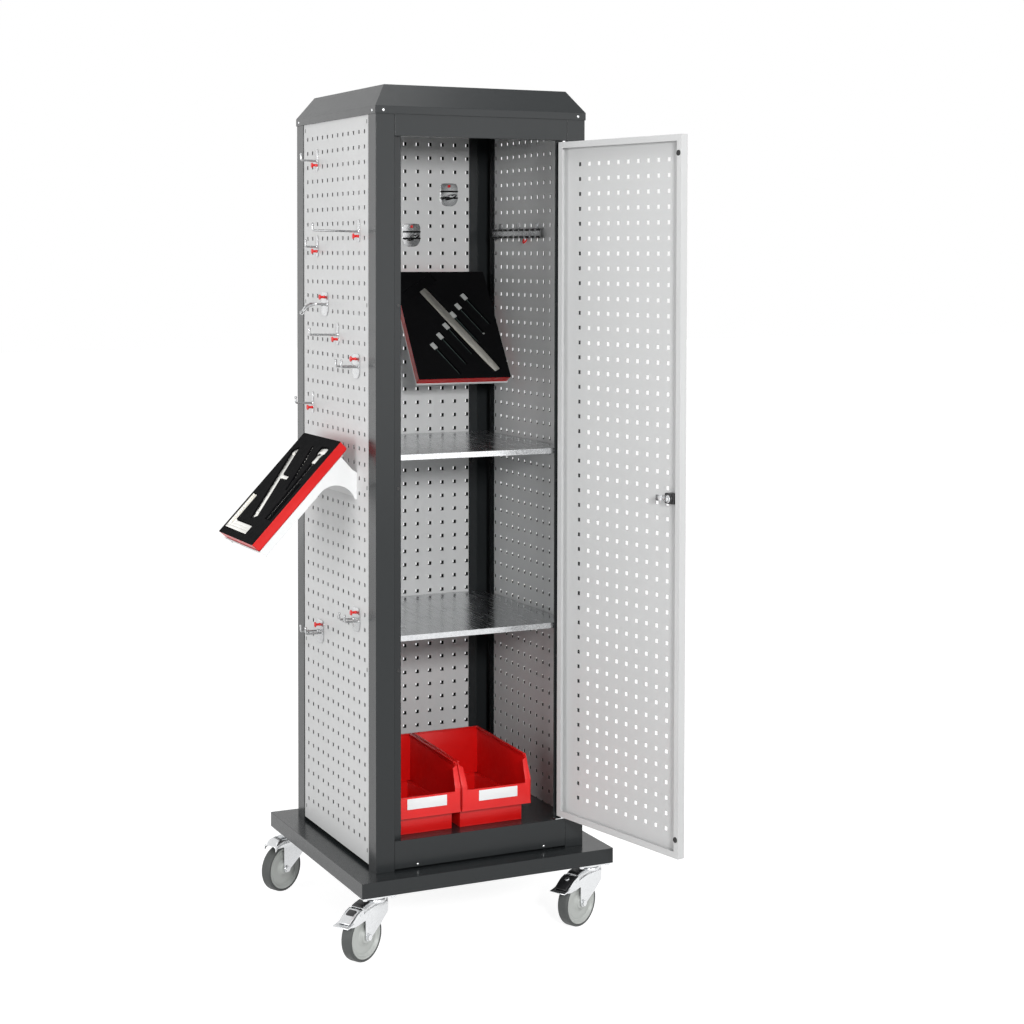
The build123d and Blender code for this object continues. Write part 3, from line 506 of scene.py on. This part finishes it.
def caster_frame(name):
    side_x, side_y, turn = CASTERS[name]
    return turned((side_x * CASTER_AT, side_y * CASTER_AT, 0), turn)


def casters():
    hub = Matrix.Translation((TRAIL, 0, WHEEL_R)) @ Matrix.Rotation(math.radians(90), 4, "X")
    h = FORK_HALF
    for name, (_, side_y, _) in CASTERS.items():
        at = caster_frame(name)
        swivel, wheel = "swivel_" + name, "wheel_" + name
        kind = "braked" if side_y < 0 else "plain"
        piece("fork_shell_" + name, *stamped_fork(kind), "zinc", swivel, ["fork_" + name], at, 0.4, flat=30)
        dish = lathe([(r, DISH_TOP - depth) for r, depth in DISH])
        piece("fork_head_" + name, *dish, "zinc", swivel, ["fork_" + name], at)
        piece("tyre_tread_" + name, *moved(lathe(tyre_profile(), 96), hub), "tyre_grey", wheel,
              ["tyre_" + name], at, flat=60)
        piece("rim_disc_" + name, *moved(lathe(rim_profile(), 96), hub), "rim_grey", wheel,
              ["rim_" + name], at, flat=50)
        # bolt with a hexagon at each end and a washer on each side plate
        bolt = [lathe([(4.9, -h - 5), (4.9, h + 7)], 24, False), hexagon(8.2, h + 1.2, h + 6),
                hexagon(8.2, -h - 6, -h - 1.2)]
        bolt += [ring(5.2, 9.6, s * h, s * (h + 1.1), 40) for s in (-1, 1)]
        piece("wheel_bolt_" + name, *moved(merge(*bolt), hub), "zinc", swivel, ["axle_" + name], at, 0.4)


# ================================================================ storage bins
def bins():
    w, h, t = BIN_W / 2, BIN_H, BIN_WALL
    back = BIN_L
    foot, setback, ledge = 88.0, 35.0, 50.0         # half of the narrower foot, its setback and its height
    lip, flange, flange_top = 104.0, 16.0, 159.0    # front wall, and the strips that rise beside its opening
    slope_y, slope_z = 30.0, 114.0                  # the side's front edge leans back from slope_z
    rise, sink, rising_from = 8, 2, 150             # the rims climb a little towards the back
    side = [(0, ledge), (back, ledge), (back, h), (slope_y, h), (0, slope_z)]
    k = (h - slope_z) / slope_y
    for name, x0 in BIN_XS.items():
        body = "storage_bin_" + name
        at = Matrix.Translation(mm(x0, BIN_FRONT, FLOOR_TOP))
        shapes = []
        for s in (-1, 1):
            shapes.append(moved(prism(side, *span(s, w, w - t)), YZ_PLANE))
            # stepped rim along the top of the side and a second, lower bead
            shapes.append(brick(*span(s, w - 7.0, w - 0.4), slope_y + 2, back - 0.3, h - 2.8, h))
            shapes.append(brick(*span(s, w - 4.6, w - 0.5), slope_y + 2, back - 0.4, h - 10, h - 7.4))
            # upright flange beside the open front, bent back along the slope
            a, b = s * (w - 0.2), s * (w - flange)
            front = [(a, ledge + 1), (b, lip - 1), (b, slope_z), (a, slope_z)]
            shapes.append(moved(prism(front, -t, 0), XZ_PLANE))
            verts = [(b, 0.1, slope_z), (a, 0.1, slope_z), (a, slope_y - 0.5, h - 1),
                     (s * (w - 3), (flange_top + 6 - slope_z) / k, flange_top + 6),
                     (s * (w - flange + 3), (flange_top - slope_z) / k, flange_top)]
            verts += [(x, y + t, z - t * 0.4) for x, y, z in verts]
            edges = [[i, (i + 1) % 5, 5 + (i + 1) % 5, 5 + i] for i in range(5)]
            shapes.append((verts, [[*range(5)], [*range(9, 4, -1)]] + edges))
            # wall of the foot
            shapes.append(brick(*span(s, foot, foot - t), setback, back - 6, 0, ledge + 0.5))
        # back and its rim, front wall and its folded lip
        shapes.append(brick(-w + 0.2, w - 0.2, back - t, back - 0.1, ledge + 0.2, h - 0.2))
        shapes.append(brick(-w + 0.3, w - 0.3, back - 8, back - 0.2, h - 3, h - 0.05))
        shapes.append(brick(-w + 0.3, w - 0.3, 0.05, t, ledge + 0.1, lip))
        shapes.append(brick(-w + flange - 1, w - flange + 1, 0.0, 5.5, lip - 3, lip + 0.4))
        # front, back and floor of the foot, then the ledges round it
        shapes.append(brick(-foot + 0.1, foot - 0.1, setback + 0.1, setback + t, 0.1, ledge + 0.4))
        shapes.append(brick(-foot + 0.1, foot - 0.1, back - 6 - t, back - 6.1, 0.1, ledge + 0.4))
        shapes.append(brick(-foot + 0.2, foot - 0.2, setback + 0.2, back - 6.2, 0.05, t))
        shapes.append(brick(-w + 0.2, w - 0.2, 0.1, setback + 2, ledge, ledge + t))
        shapes.append(brick(-w + 0.2, w - 0.2, back - 9, back - 0.2, ledge, ledge + t))
        for s in (-1, 1):
            shapes.append(brick(*span(s, foot - t, w - 0.2), 0.2, back - 0.3, ledge + 0.02, ledge + t))
        verts, faces = merge(*shapes)
        verts = [(x, y, z + (rise * (y - slope_y) / (back - slope_y) - sink
                             if z > rising_from and y > slope_y - 1 else 0)) for x, y, z in verts]
        piece("bin_shell_" + name, verts, faces, "red_plastic", body, ["bin_" + name], at, 0.7)
        # bare label plate on the front
        label = rounded([(-50, 73), (59, 73), (59, 100), (-50, 100)], 1.0)
        piece("label_plate_" + name, *moved(prism(label, 0, 0.8), XZ_PLANE), "white_plastic", body,
              ["bin_label_" + name], at, 0.2)


# ================================================================ hooks
PAIR = PITCH / 2        # lugs and prongs of a wide plate, from its middle
SPRING_HOLDERS = ((152.0, 3, "zinc"), (38.0, 6, "chrome"))     # x, upper row, finish
RAIL_ENDS = (-205, 97)
RAIL_LOW, RAIL_HIGH = 1788.0, 1814.0
RAIL_ROW = 6            # row of holes that the rail's lugs hang in
RAIL_TABS = (57.0, -57.0, -171.0)
RAIL_CLIPS = [-188 + 34 * k for k in range(9)]

# column, upper row, arm, prongs, clip at the top, kind; double hooks hang in two columns
HOOKS = [
    (2, 1, 50, 1, False, "plain"), (10, 6, 128, 1, False, "plain"), (2, 7, 38, 1, False, "plain"),
    (3.5, 11, 66, 2, True, "drop"), (6, 13, 82, 1, False, "plain"), (9.5, 15, 52, 2, True, "plain"),
    (1, 18, 53, 1, False, "plain"), (2.5, 34, 53, 2, True, "plain"), (9.5, 32, 44, 2, True, "plain"),
]


def narrow_plate():
    """Stamped back plate: a round foot, a waist and a rounded head."""
    foot = [math.radians(a) for a in range(-90, 91, 15)]
    pts = [(10 * math.sin(a), -39 - 10 * math.cos(a)) for a in foot]
    pts += [(9.8, -30), (7.6, -24), (7.2, -14), (8.4, -4), (8.0, 3), (5.6, 7.4), (0, 9.0)]
    pts += [(-x, z) for x, z in pts[-2:-8:-1]]
    return moved(prism(pts, 0.3, 1.9), YZ_PLANE)


def wide_plate(half, low, high):
    """Plate over two columns, bowed at its foot and its head."""
    bow = half * 0.4        # the middle of each end stands out over this half width
    pts = [(half, high - 8), (half - 6, high - 1), (bow, high), (-bow, high), (6 - half, high - 1),
           (-half, high - 8), (-half, low + 16), (6 - half, low + 5), (-bow, low), (bow, low),
           (half - 6, low + 5), (half, low + 16)]
    return moved(prism(rounded(pts, 8, 4), 0.3, 2.0), YZ_PLANE)


def lug(y, z):
    """Hook bent through the hole at (y, z) of the wall."""
    return brick(-6.5, 1.2, y - 3.9, y + 3.9, z - 4.7, z + 2.6)


def lugs(columns=(0, )):
    return [lug(y, z) for y in columns for z in (0, -PITCH)]


def clip_knob(z):
    """Red locking knob: a stem and a disc."""
    profile = [(CORE, 0), (4.4, 0), (3.4, 2), (3.2, 9.5), (4.0, 11), (6.4, 11.6), (7.0, 12.6), (6.8, 14.4),
               (5.6, 15), (CORE, 15)]
    return moved(lathe(profile, 28, False), Matrix.Translation((2.0, 0, z)) @ X_AXIS)


def hook_arms(kind, arm, spread):
    """Wires of one hook; x runs out of the wall."""
    shapes = []
    z = -22.0
    collar = lathe([(2.6, 0), (5.0, 0), (4.6, 1.6), (3.4, 2.4), (2.6, 2.6)], 24)
    tip = lathe([(CORE, -4), (2.4, -3.4), (3.6, -1), (3.6, 1), (2.4, 3.4), (CORE, 4)], 20, False)
    for y in spread:
        if kind == "drop":
            path = [(2, y, z), (arm * 0.5, y, z + 3), (arm * 0.78, y * 0.6, z - 5),
                    (arm - 3, y * 0.25, z - 19)]
        else:
            path = [(2, y, z), (arm - 4, y, z + arm * 0.02), (arm - 4, y, z + 17)]
        shapes.append(wire(path, 2.7, 5.0))
        shapes.append(moved(collar, Matrix.Translation((1.8, y, z)) @ X_AXIS))
        if kind != "drop":
            shapes.append(moved(tip, Matrix.Translation((arm - 4, y, z + 16))))
    if kind == "drop":
        shapes.append(moved(ring(3.4, 6.0, -2, 2, 28), Matrix.Translation((arm - 2, 0, z - 21)) @ Y_AXIS))
    return shapes


def hooks():
    for i, (col, row, arm, prongs, on_top, kind) in enumerate(HOOKS):
        y, z = PITCH * ((COLS - 1) / 2 - col), ROW_TOP - PITCH * row
        at = frame_at((-WALL_FACE, y, z), (-1, 0, 0), (0, 0, 1))
        spread = (-PAIR, PAIR) if prongs == 2 else (0, )
        plate = wide_plate(26.5, -52, 11) if prongs == 2 else narrow_plate()
        shape = merge(plate, *lugs(spread), *hook_arms(kind, arm, spread))
        piece(f"wall_hook_{i}", *shape, "chrome", "cabinet", ["hooks"], at, 0.25)
        piece(f"hook_lock_{i}", *clip_knob(-2 if on_top else -33.5), "red_plastic", "cabinet",
              ["hook_clips"], at)


def spring_holders():
    """Two holders on the rear wall inside: a plate, two dark bars and an open spring ring."""
    for i, (x, row, finish) in enumerate(SPRING_HOLDERS):
        at = frame_at((x, INNER, ROW_TOP - PITCH * row), (0, -1, 0), (0, 0, 1))
        piece(f"spring_holder_{i}", *merge(wide_plate(27, -58, 6), *lugs((-PAIR, PAIR))), finish,
              "cabinet", ["hooks"], at, 0.25)
        bars = [wire([(4.4, -27, z), (4.4, 27, z)], 2.2) for z in (-16.5, -35)]
        bars.append(wire([(3, 10, -27), (12, 14, -25), (27, 13, -27), (38, 2, -33), (38, -12, -39),
                          (27, -20, -41), (14, -15, -38), (5, 0, -33)], 2.0, 9.0))
        piece(f"spring_bars_{i}", *merge(*bars), "black_bars", "cabinet", ["hooks"], at)
        button = lathe([(CORE, 0), (4, 0), (4, 3), (3, 4), (CORE, 4)], 24, False)
        piece(f"holder_lock_{i}", *moved(button, Matrix.Translation((2, 0, -2)) @ X_AXIS), "red_plastic",
              "cabinet", ["hook_clips"], at)


def tool_rail():
    """A channel on the right wall inside with a row of spring clips; y runs towards the door."""
    at = frame_at((INNER, 0, 0), (-1, 0, 0), (0, 0, 1))
    low, high, row = RAIL_LOW, RAIL_HIGH, ROW_TOP - RAIL_ROW * PITCH
    shapes = [brick(10.5, 12, *RAIL_ENDS, low, high), brick(0.4, 12, *RAIL_ENDS, high - 1.5, high),
              brick(0.4, 12, *RAIL_ENDS, low, low + 1.5)]
    for y in RAIL_TABS:
        shapes += [brick(0.4, 2.3, y - 9, y + 9, high - 2, row + 6), lug(y, row)]
    piece("tool_rail", *merge(*shapes), "chrome", "cabinet", ["hooks"], at, 0.3)
    clips = [brick(11.8, 15, y - 9, y + 9, z - 2.4, z + 2.4) for y in RAIL_CLIPS for z in (low + 4, high - 4)]
    piece("rail_springs", *merge(*clips), "black_bars", "cabinet", ["hooks"], at, 0.8)
    loop = wire([(4, -18, low - 2), (10, -14, low - 12), (10, -4, low - 13), (4, -1, low - 3)], 2.2, 6.0)
    piece("rail_lock", *loop, "red_plastic", "cabinet", ["hook_clips"], at)


# ================================================================ trays and tools
# a tray's frame: origin in the middle of its upper edge, x along that edge, y down its face, z out of it
OUTER = frame_at((-333, -20, 1271), (0, 1, 0), (-0.7265, 0, 0.6872))
INNER_TRAY = frame_at((110, 243, 1695), (-1, 0, 0), (0, -0.8405, 0.5418))
FILES_LEAN = 122.4      # of the files in the inner tray
# wall of a tray as (inset, height, corner trimmed by), from its flanged rim round the floor to its inside
TRAY_RINGS = [(0, -1.3, 0), (0, -4.0, 0), (0.4, -4.6, 0), (0.7, -TRAY_T + 5, 0), (1.8, -TRAY_T + 1.6, 0),
              (4, -TRAY_T, 0), (4.2, -TRAY_T + 1.6, 0), (3.4, -TRAY_T + 3, 0), (2.2, -TRAY_T + 6, 1.5),
              (2.0, -1.6, 1.5), (1.7, -1.3, 1.5)]
TRAY_BOTTOM = 5         # the ring round the underside; the next one lies round the floor


def tray_shell():
    """Drawn tray: rounded outside, a flanged rim, a thin wall."""
    w, l, r = TRAY_W / 2, TRAY_L, 4.0
    rings = []
    for inset, z, trim in TRAY_RINGS:
        pts = [(-w + inset, inset), (w - inset, inset), (w - inset, l - inset), (-w + inset, l - inset)]
        rings.append([(x, y, z) for x, y in rounded(pts, r - trim, 6)])
    n = len(rings[0])
    verts = [v for loop in rings for v in loop]
    faces = []
    for i in range(len(rings)):
        j = (i + 1) % len(rings)
        if i == TRAY_BOTTOM:
            faces.append([i * n + k for k in range(n)])
            faces.append([j * n + k for k in range(n)][::-1])
            continue
        faces += [[i * n + k, i * n + (k + 1) % n, j * n + (k + 1) % n, j * n + k] for k in range(n)]
    return verts, faces


def laid(cx, cy, angle, z=0):
    """Matrix of a tool lying in a nest."""
    return Matrix.Translation((cx, cy, z)) @ Matrix.Rotation(math.radians(angle), 4, "Z")


def bar(cx, cy, angle, length, width, z0, z1, ends=2.0, taper=1.0):
    """Flat bar over the floor of a nest, with rounded corners; taper scales its far end."""
    a, b = length / 2, width / 2
    pts = rounded([(-a, -b), (a, -b * taper), (a, b * taper), (-a, b)], ends)
    return moved(prism(pts, NEST + z0, NEST + z1), laid(cx, cy, angle))


def rod(cx, cy, angle, length, radii, z):
    """Round rod over the floor of a nest through (share of its length, radius) stations."""
    profile = [(CORE, -length / 2)] + [(r, -length / 2 + f * length) for f, r in radii] + [(CORE, length / 2)]
    return moved(lathe(profile, 20, False), laid(cx, cy, angle, NEST + z) @ X_AXIS)


def upright(shape, x, y, z):
    """A turned shape standing over the floor of a nest."""
    return moved(shape, Matrix.Translation((x, y, NEST + z)))


def outer_tools():
    body = "tool_tray_outer"
    piece("tray_dish_outer", *tray_shell(), "red_plastic", body, ["tray_outer"], OUTER, flat=50)
    # bevel gauge: a long blade with rounded ends, a short stock across it and its screws
    gauge = [bar(47, 161, 115.6, 240, 28, 0.8, 4.4, 13), bar(20, 139, 0, 50, 10, 0.4, 5.4, 4)]
    screw = lathe([(CORE, 0), (5.4, 0), (5.4, 1.6), (4.2, 2.6), (CORE, 2.6)], 28, False)
    gauge += [upright(screw, x, y, 4.3) for x, y in ((40, 139), (1, 139), (93, 66), (2, 255))]
    piece("bevel_gauge_steel", *merge(*gauge), "tool_steel", body, ["bevel_gauge"], OUTER, 0.5)
    # steel square: three ground steps along the long leg, a heavier dark short leg
    square = [bar(44, 308 + (i - 1) * 9, 0, 167, 8.4, 0.5, z, 0.8) for i, z in enumerate((5.0, 6.0, 6.9))]
    square.append(bar(44, 308, 0, 168, 27, 0.4, 4.6, 1))
    piece("steel_square_ground", *merge(*square), "tool_steel", body, ["steel_square"], OUTER, 0.5)
    stock = [bar(111, 264, 90, 108, 33, 0.8, 5.4, 1), bar(123, 264, 90, 108, 8, 0.8, 6.9, 1)]
    piece("steel_square_stock", *merge(*stock), "file_steel", body, ["steel_square"], OUTER, 0.5)
    # caliper: beam, two jaws, slide with its thumb screw
    jaw = [(-104, 34), (-94, 29), (-72, 30), (-54, 35), (-52, 44), (-58, 52), (-68, 46), (-80, 48), (-96, 46),
           (-106, 42)]
    slide = [(-94, 54), (-66, 54), (-66, 77), (-72, 80), (-94, 78)]
    tools = [bar(-84, 145, 92.3, 234, 14, 0.5, 3.4, 1.5), prism(rounded(jaw, 3), NEST + 0.3, NEST + 4.8),
             prism(rounded(slide, 2), NEST + 0.4, NEST + 5.6), upright(disc(3.8, 0, 3), -88, 62, 4.8)]
    # two scribers
    point = [(0.0, 0.5), (0.18, 2.3), (0.82, 2.3), (1.0, 0.5)]
    tools += [rod(x, 205, 90, 116, point, 3.0) for x in (-116, -105)]
    # spring dividers: two tapering legs, a bow and a row of graduation bumps
    tools += [bar(-22, 88, 117.4, 120, 7, 0.6, 3.8, 1, 0.4), bar(-38, 120, 111, 110, 4.6, 0.6, 3.4, 0.8, 0.4),
              upright(ring(5, 8, -1.6, 1.6, 32), 6, 38, 2.4)]
    tools += [upright(disc(1.7, 0, 1.2, 12), -2 - i * 4.9, 52 + i * 9.5, 3.6) for i in range(9)]
    piece("caliper_and_points", *merge(*tools), "tool_steel", body, ["caliper_and_scribers"], OUTER, 0.3)


def inner_tools():
    body = "tool_tray_inner"
    piece("tray_dish_inner", *tray_shell(), "red_plastic", body, ["tray_inner"], INNER_TRAY, flat=50)
    # flat file, drawn with a belly in its outline and a short tang end
    pts = [(-154, -9), (-148, -11.6), (-60, -11.9), (60, -11.6), (130, -10.4), (153, -8.6), (154, 8.6),
           (130, 10.4), (60, 11.6), (-60, 11.9), (-148, 11.6), (-154, 9)]
    flat_file = moved(prism(pts, NEST + 0.5, NEST + 6.4), laid(-20, 188, FILES_LEAN))
    piece("flat_file_cut", *flat_file, "file_steel", body, ["flat_file"], INNER_TRAY, 0.6)
    # needle files with pale grips
    blade = [(0.0, 1.9), (0.3, 1.9), (0.34, 1.4), (0.9, 0.9), (1.0, 0.3)]
    tail = [(0.0, 0.6), (0.2, 1.5), (1.0, 1.6)]
    blades, grips = [], []
    for i in (0, 1, 1.85, 3, 4, 5):
        x, y = -59 + 25.6 * i, 81 + 31.3 * i
        grips.append(bar(x, y, FILES_LEAN, 20, 14, 0.4, 4.9, 1.2))
        blades.append(rod(x - 31, y + 49, FILES_LEAN, 96, blade, 2.6))
        blades.append(rod(x + 16, y - 26, FILES_LEAN, 50, tail, 2.4))
    # two pale cubes and a half-round block in their own nests
    grips += [bar(-92, 150, 8, 13, 10, 0.4, 5.4, 1), bar(-87, 204, 8, 13, 10, 0.4, 5.4, 1)]
    arc = [math.radians(a) for a in range(-20, 201, 20)]
    half_round = [(11 * math.cos(a) - 78, 11 * math.sin(a) + 58) for a in arc]
    grips.append(prism(half_round, NEST + 0.4, NEST + 5.6))
    piece("needle_file_grips", *merge(*grips), "grip_grey", body, ["needle_files"], INNER_TRAY, 0.4)
    # short bright blades and a long scraper
    bits = [wire([(x0, y0, NEST + 2.4), (x1, y1, NEST + 2.4)], 1.7) for x0, y0, x1, y1 in (
        (14, 241, -7, 272), (40, 260, 25, 285), (59, 293, 41, 321), (99, 257, 90, 272), (-41, 28, -121, 127))]
    piece("loose_blades", *merge(*bits), "tool_steel", body, ["needle_files"], INNER_TRAY)
    piece("needle_file_blades", *merge(*blades), "dark_steel", body, ["needle_files"], INNER_TRAY)


# ================================================================ screws and the lock
def screw_head(r, out):
    """Domed head; z runs out of the sheet."""
    profile = [(CORE, out), (r * 0.5, out * 0.94), (r * 0.85, out * 0.6), (r, out * 0.15), (r, 0), (CORE, 0)]
    return lathe(profile, 28, False)


ROOF_SCREW = (270, -292, 2100)      # the front's right one; the others are its copies round the roof
SILL_SCREW = (177, -290, 209)


def screws():
    """Two heads on each side of the roof's band and two on the sill."""
    forward = Matrix.Rotation(math.radians(90), 4, "X")     # turns local z to -y
    shapes = []
    for a in (0, 90, 180, 270):
        turn = Matrix.Rotation(math.radians(a), 4, "Z")
        for side in (-1, 1):
            spot = Matrix.Translation((side * ROOF_SCREW[0], *ROOF_SCREW[1:]))
            shapes.append(moved(screw_head(3.5, 1.6), turn @ spot @ forward))
    for side in (-1, 1):
        spot = Matrix.Translation((side * SILL_SCREW[0], *SILL_SCREW[1:]))
        shapes.append(moved(screw_head(3.0, 1.2), spot @ forward))
    piece("cover_screw_heads", *merge(*shapes), "zinc", "cabinet", ["cover_screws"])


def opened():
    """Matrix that swings a piece from the closed door to the open one."""
    h = mm(*HINGE, 0)
    return Matrix.Translation(h) @ Matrix.Rotation(math.radians(DOOR_OPEN), 4, "Z") @ Matrix.Translation(-h)


def plate_outline(half_x, half_y, radius):
    return rounded([(-half_x, -half_y), (half_x, -half_y), (half_x, half_y), (-half_x, half_y)], radius)


def lock():
    """Local z runs into the cabinet, with the closed door's outer face at DOOR_FRONT."""
    at = opened() @ Matrix.Translation(mm(LOCK_X, 0, LOCK_Z)) @ Matrix.Rotation(math.radians(-90), 4, "X")
    face = DOOR_FRONT
    skin = face + DOOR_SHEET
    cam_at = skin + 21.6        # the cam lies on the end of the housing
    housing = [lathe([(5.1, face - 2), (16, face - 2), (17, face - 1.2), (17, face - 0.05),
                      (10.8, face - 0.05), (10.8, skin + 0.1), (13, skin + 0.1), (13, skin + 19.5),
                      (12, skin + 21.2), (5.1, skin + 21.2)], 48),
               prism(plate_outline(17, 13, 4), skin + 0.1, skin + 17)]
    piece("lock_housing", *merge(*housing), "black_plastic", "door", ["lock_body"], at, 0.5)
    cam = [lathe([(CORE, face - 2.2), (5, face - 2.2), (5, cam_at + 6.0), (4.4, cam_at + 7),
                  (CORE, cam_at + 7)], 32, False),
           hexagon(7.0, cam_at + 3.0, cam_at + 6.6),
           ring(5, 10, cam_at, cam_at + 2.9, 40),
           prism(rounded([(0, -6), (22, -6), (22, 6), (0, 6)], 1), cam_at + 0.05, cam_at + 3),
           prism(rounded([(19, -7.5), (40, -7.5), (40, 7.5), (19, 7.5)], 2.5), cam_at, cam_at + 5)]
    piece("lock_tongue", *merge(*cam), "zinc", "lock", ["lock_cam"], at, 0.3)
    knob = [lathe([(CORE, face - 8.2), (13, face - 8.2), (15, face - 7.0), (15, face - 3.0), (14, face - 2.2),
                   (CORE, face - 2.2)], 48, False),
            prism(plate_outline(14, 4, 3.5), face - 21, face - 8)]
    piece("lock_wing_knob", *merge(*knob), "black_plastic", "lock", ["lock_knob"], at, 0.8)


# ================================================================ brake pedals
HOOD = [(36, 146.2), (36, 147.6), (58, 142.6), (66.5, 139.8), (66.5, 138.2), (57, 141.4)]
COVER = [(70, 127), (69.6, 134.4), (73, 135.6), (90, 129), (118, 112.6), (118, 110), (104, 112), (88, 119),
         (80, 120.6)]
FOOTSTEP = [(104, 112.4), (118, 108.4), (131, 106), (131.4, 103.4), (118, 104.6), (108, 108)]


def pressed(outline, radius, half):
    """A sheet part by its side outline, as wide as twice half."""
    return moved(prism(rounded(outline, radius), -half, half), XZ_PLANE)


def brakes():
    """On each front caster a hood over the crown, and a pedal with a cover, a cap and a footstep."""
    cap_at = Matrix.Translation((88, 0, 130)) @ Matrix.Rotation(math.radians(27), 4, "Y")
    pin_at = Matrix.Translation((BRAKE_PIVOT[0], 0, BRAKE_PIVOT[1])) @ Y_AXIS
    for name, finish in (("front_left", "zinc"), ("front_right", "black_plastic")):
        at = caster_frame(name)
        body, node_name = "pedal_" + name, "brake_" + name
        piece("brake_hood_" + name, *pressed(HOOD, 1, 16.5), "black_plastic", "swivel_" + name, (), at, 0.4)
        piece("brake_cover_" + name, *pressed(COVER, 2, 17.5), finish, body, [node_name], at, 0.8)
        if name == "front_left":
            insert = moved(prism(plate_outline(9, 12, 3), -1.2, 1.4), cap_at)
            piece("brake_insert_" + name, *insert, "black_plastic", body, [node_name], at, 0.5)
        else:
            cap = lathe([(CORE, -1), (6.4, -1), (6.4, 2.0), (5, 3), (CORE, 3)], 32, False)
            piece("brake_cap_" + name, *moved(cap, cap_at), "zinc", body, [node_name], at, 0.3)
        tread = merge(pressed(FOOTSTEP, 1.2, 23.5), moved(disc(3, -23, 23), pin_at))
        piece("brake_step_" + name, *tread, "zinc", body, [node_name], at, 0.5)


# ================================================================ backdrop, light and camera
FLOOR_REACH = 30.0          # metres
FLOOR_TONE = 0.5            # of the floor's diffuse share, in the light that it throws on the object
FLOOR_GLOW = 0.86           # makes the floor white to the camera and in reflections
WORLD_LIGHT = 0.36          # strength of the world as a light; it is white where it is seen
AIM = (0, 0, 1.1)           # metres
LAMPS = (                   # name, place in metres, watts, side in metres
    ("key", (-1.0, -5.0, 2.3), 140, 0.6),
    ("left", (-4.0, -1.0, 1.5), 62, 2.5),
    ("front_right", (2.4, -5.0, 2.0), 42, 3.0),
    ("overhead", (-0.3, -0.85, 4.0), 30, 2.0),
    ("rear", (-2.5, 4.5, 1.8), 22, 3.2),
)


def placed(name, data):
    o = bpy.data.objects.new(name, data)
    bpy.context.scene.collection.objects.link(o)
    return o


def floor():
    """Pale floor that glows to camera and glossy rays only, and keeps the object's shadow."""
    me = bpy.data.meshes.new("studio_floor")
    r = FLOOR_REACH
    me.from_pydata([(-r, -r, 0), (r, -r, 0), (r, r, 0), (-r, r, 0)], [], [(0, 1, 2, 3)])
    placed("studio_floor", me)
    m, t, b = shader("studio_floor_white", (FLOOR_TONE, FLOOR_TONE, FLOOR_TONE), 0.9, Specular_IOR_Level=0.1)
    glow = node(t, "ShaderNodeEmission", Strength=FLOOR_GLOW)
    add = node(t, "ShaderNodeAddShader")
    t.links.new(b.outputs[0], add.inputs[0])
    t.links.new(glow.outputs[0], add.inputs[1])
    path = node(t, "ShaderNodeLightPath")
    seen = calc(t, "MAXIMUM", path.outputs["Is Camera Ray"], path.outputs["Is Glossy Ray"])
    mix = node(t, "ShaderNodeMixShader")
    t.links.new(seen, mix.inputs["Fac"])
    t.links.new(b.outputs[0], mix.inputs[1])
    t.links.new(add.outputs[0], mix.inputs[2])
    t.links.new(mix.outputs[0], t.nodes["Material Output"].inputs["Surface"])
    me.materials.append(m)


def backdrop():
    """White world to camera, glossy and transmission rays, and a dimmer one as a light."""
    world = bpy.context.scene.world or bpy.data.worlds.new("studio")
    bpy.context.scene.world = world
    world.use_nodes = True
    t = world.node_tree
    t.nodes.clear()
    path = node(t, "ShaderNodeLightPath")
    seen = calc(t, "MAXIMUM", path.outputs["Is Camera Ray"], path.outputs["Is Glossy Ray"])
    seen = calc(t, "MAXIMUM", seen, path.outputs["Is Transmission Ray"])
    bg = node(t, "ShaderNodeBackground", Color=(1, 1, 1, 1))
    t.links.new(ramp(t, seen, WORLD_LIGHT, 1.0, 0.0, 1.0), bg.inputs["Strength"])
    t.links.new(bg.outputs[0], node(t, "ShaderNodeOutputWorld").inputs["Surface"])


def lamps():
    for name, at, power, size in LAMPS:
        lamp = bpy.data.lights.new(name, "AREA")
        lamp.energy, lamp.size = power, size
        o = placed(name, lamp)
        o.location = at
        o.rotation_euler = (Vector(AIM) - Vector(at)).to_track_quat("-Z", "Y").to_euler()


IMAGE = 1024.0                  # side of the picture in pixels
FOCAL = 1981.83                 # focal length in pixels
CENTRE = (515.2, 324.9)         # principal point in pixels
CAMERA_AT = (-2098.6, -4847.8, 1746.5)
YAW, PITCH_ANGLE, ROLL = 0.448, -0.036, 0.002       # radians


def camera():
    cam = bpy.data.cameras.new("camera")
    cam.sensor_width = 36.0
    cam.lens = FOCAL / IMAGE * cam.sensor_width
    cam.shift_x = (IMAGE / 2 - CENTRE[0]) / IMAGE
    cam.shift_y = (CENTRE[1] - IMAGE / 2) / IMAGE
    cam.clip_start, cam.clip_end = 0.1, 100
    o = placed("camera", cam)
    forward = Vector((math.sin(YAW) * math.cos(PITCH_ANGLE), math.cos(YAW) * math.cos(PITCH_ANGLE),
                      math.sin(PITCH_ANGLE)))
    right = Vector((math.cos(YAW), -math.sin(YAW), 0))
    up = right.cross(forward)
    right, up = (right * math.cos(ROLL) + up * math.sin(ROLL), up * math.cos(ROLL) - right * math.sin(ROLL))
    m = Matrix((right, up, -forward)).transposed().to_4x4()
    m.translation = mm(*CAMERA_AT)
    o.matrix_world = m
    bpy.context.scene.camera = o


# ================================================================ the whole picture
casters()
bins()
hooks()
spring_holders()
tool_rail()
outer_tools()
inner_tools()
screws()
lock()
brakes()

floor()
backdrop()
lamps()
bpy.context.scene.view_settings.view_transform = "Standard"
camera()
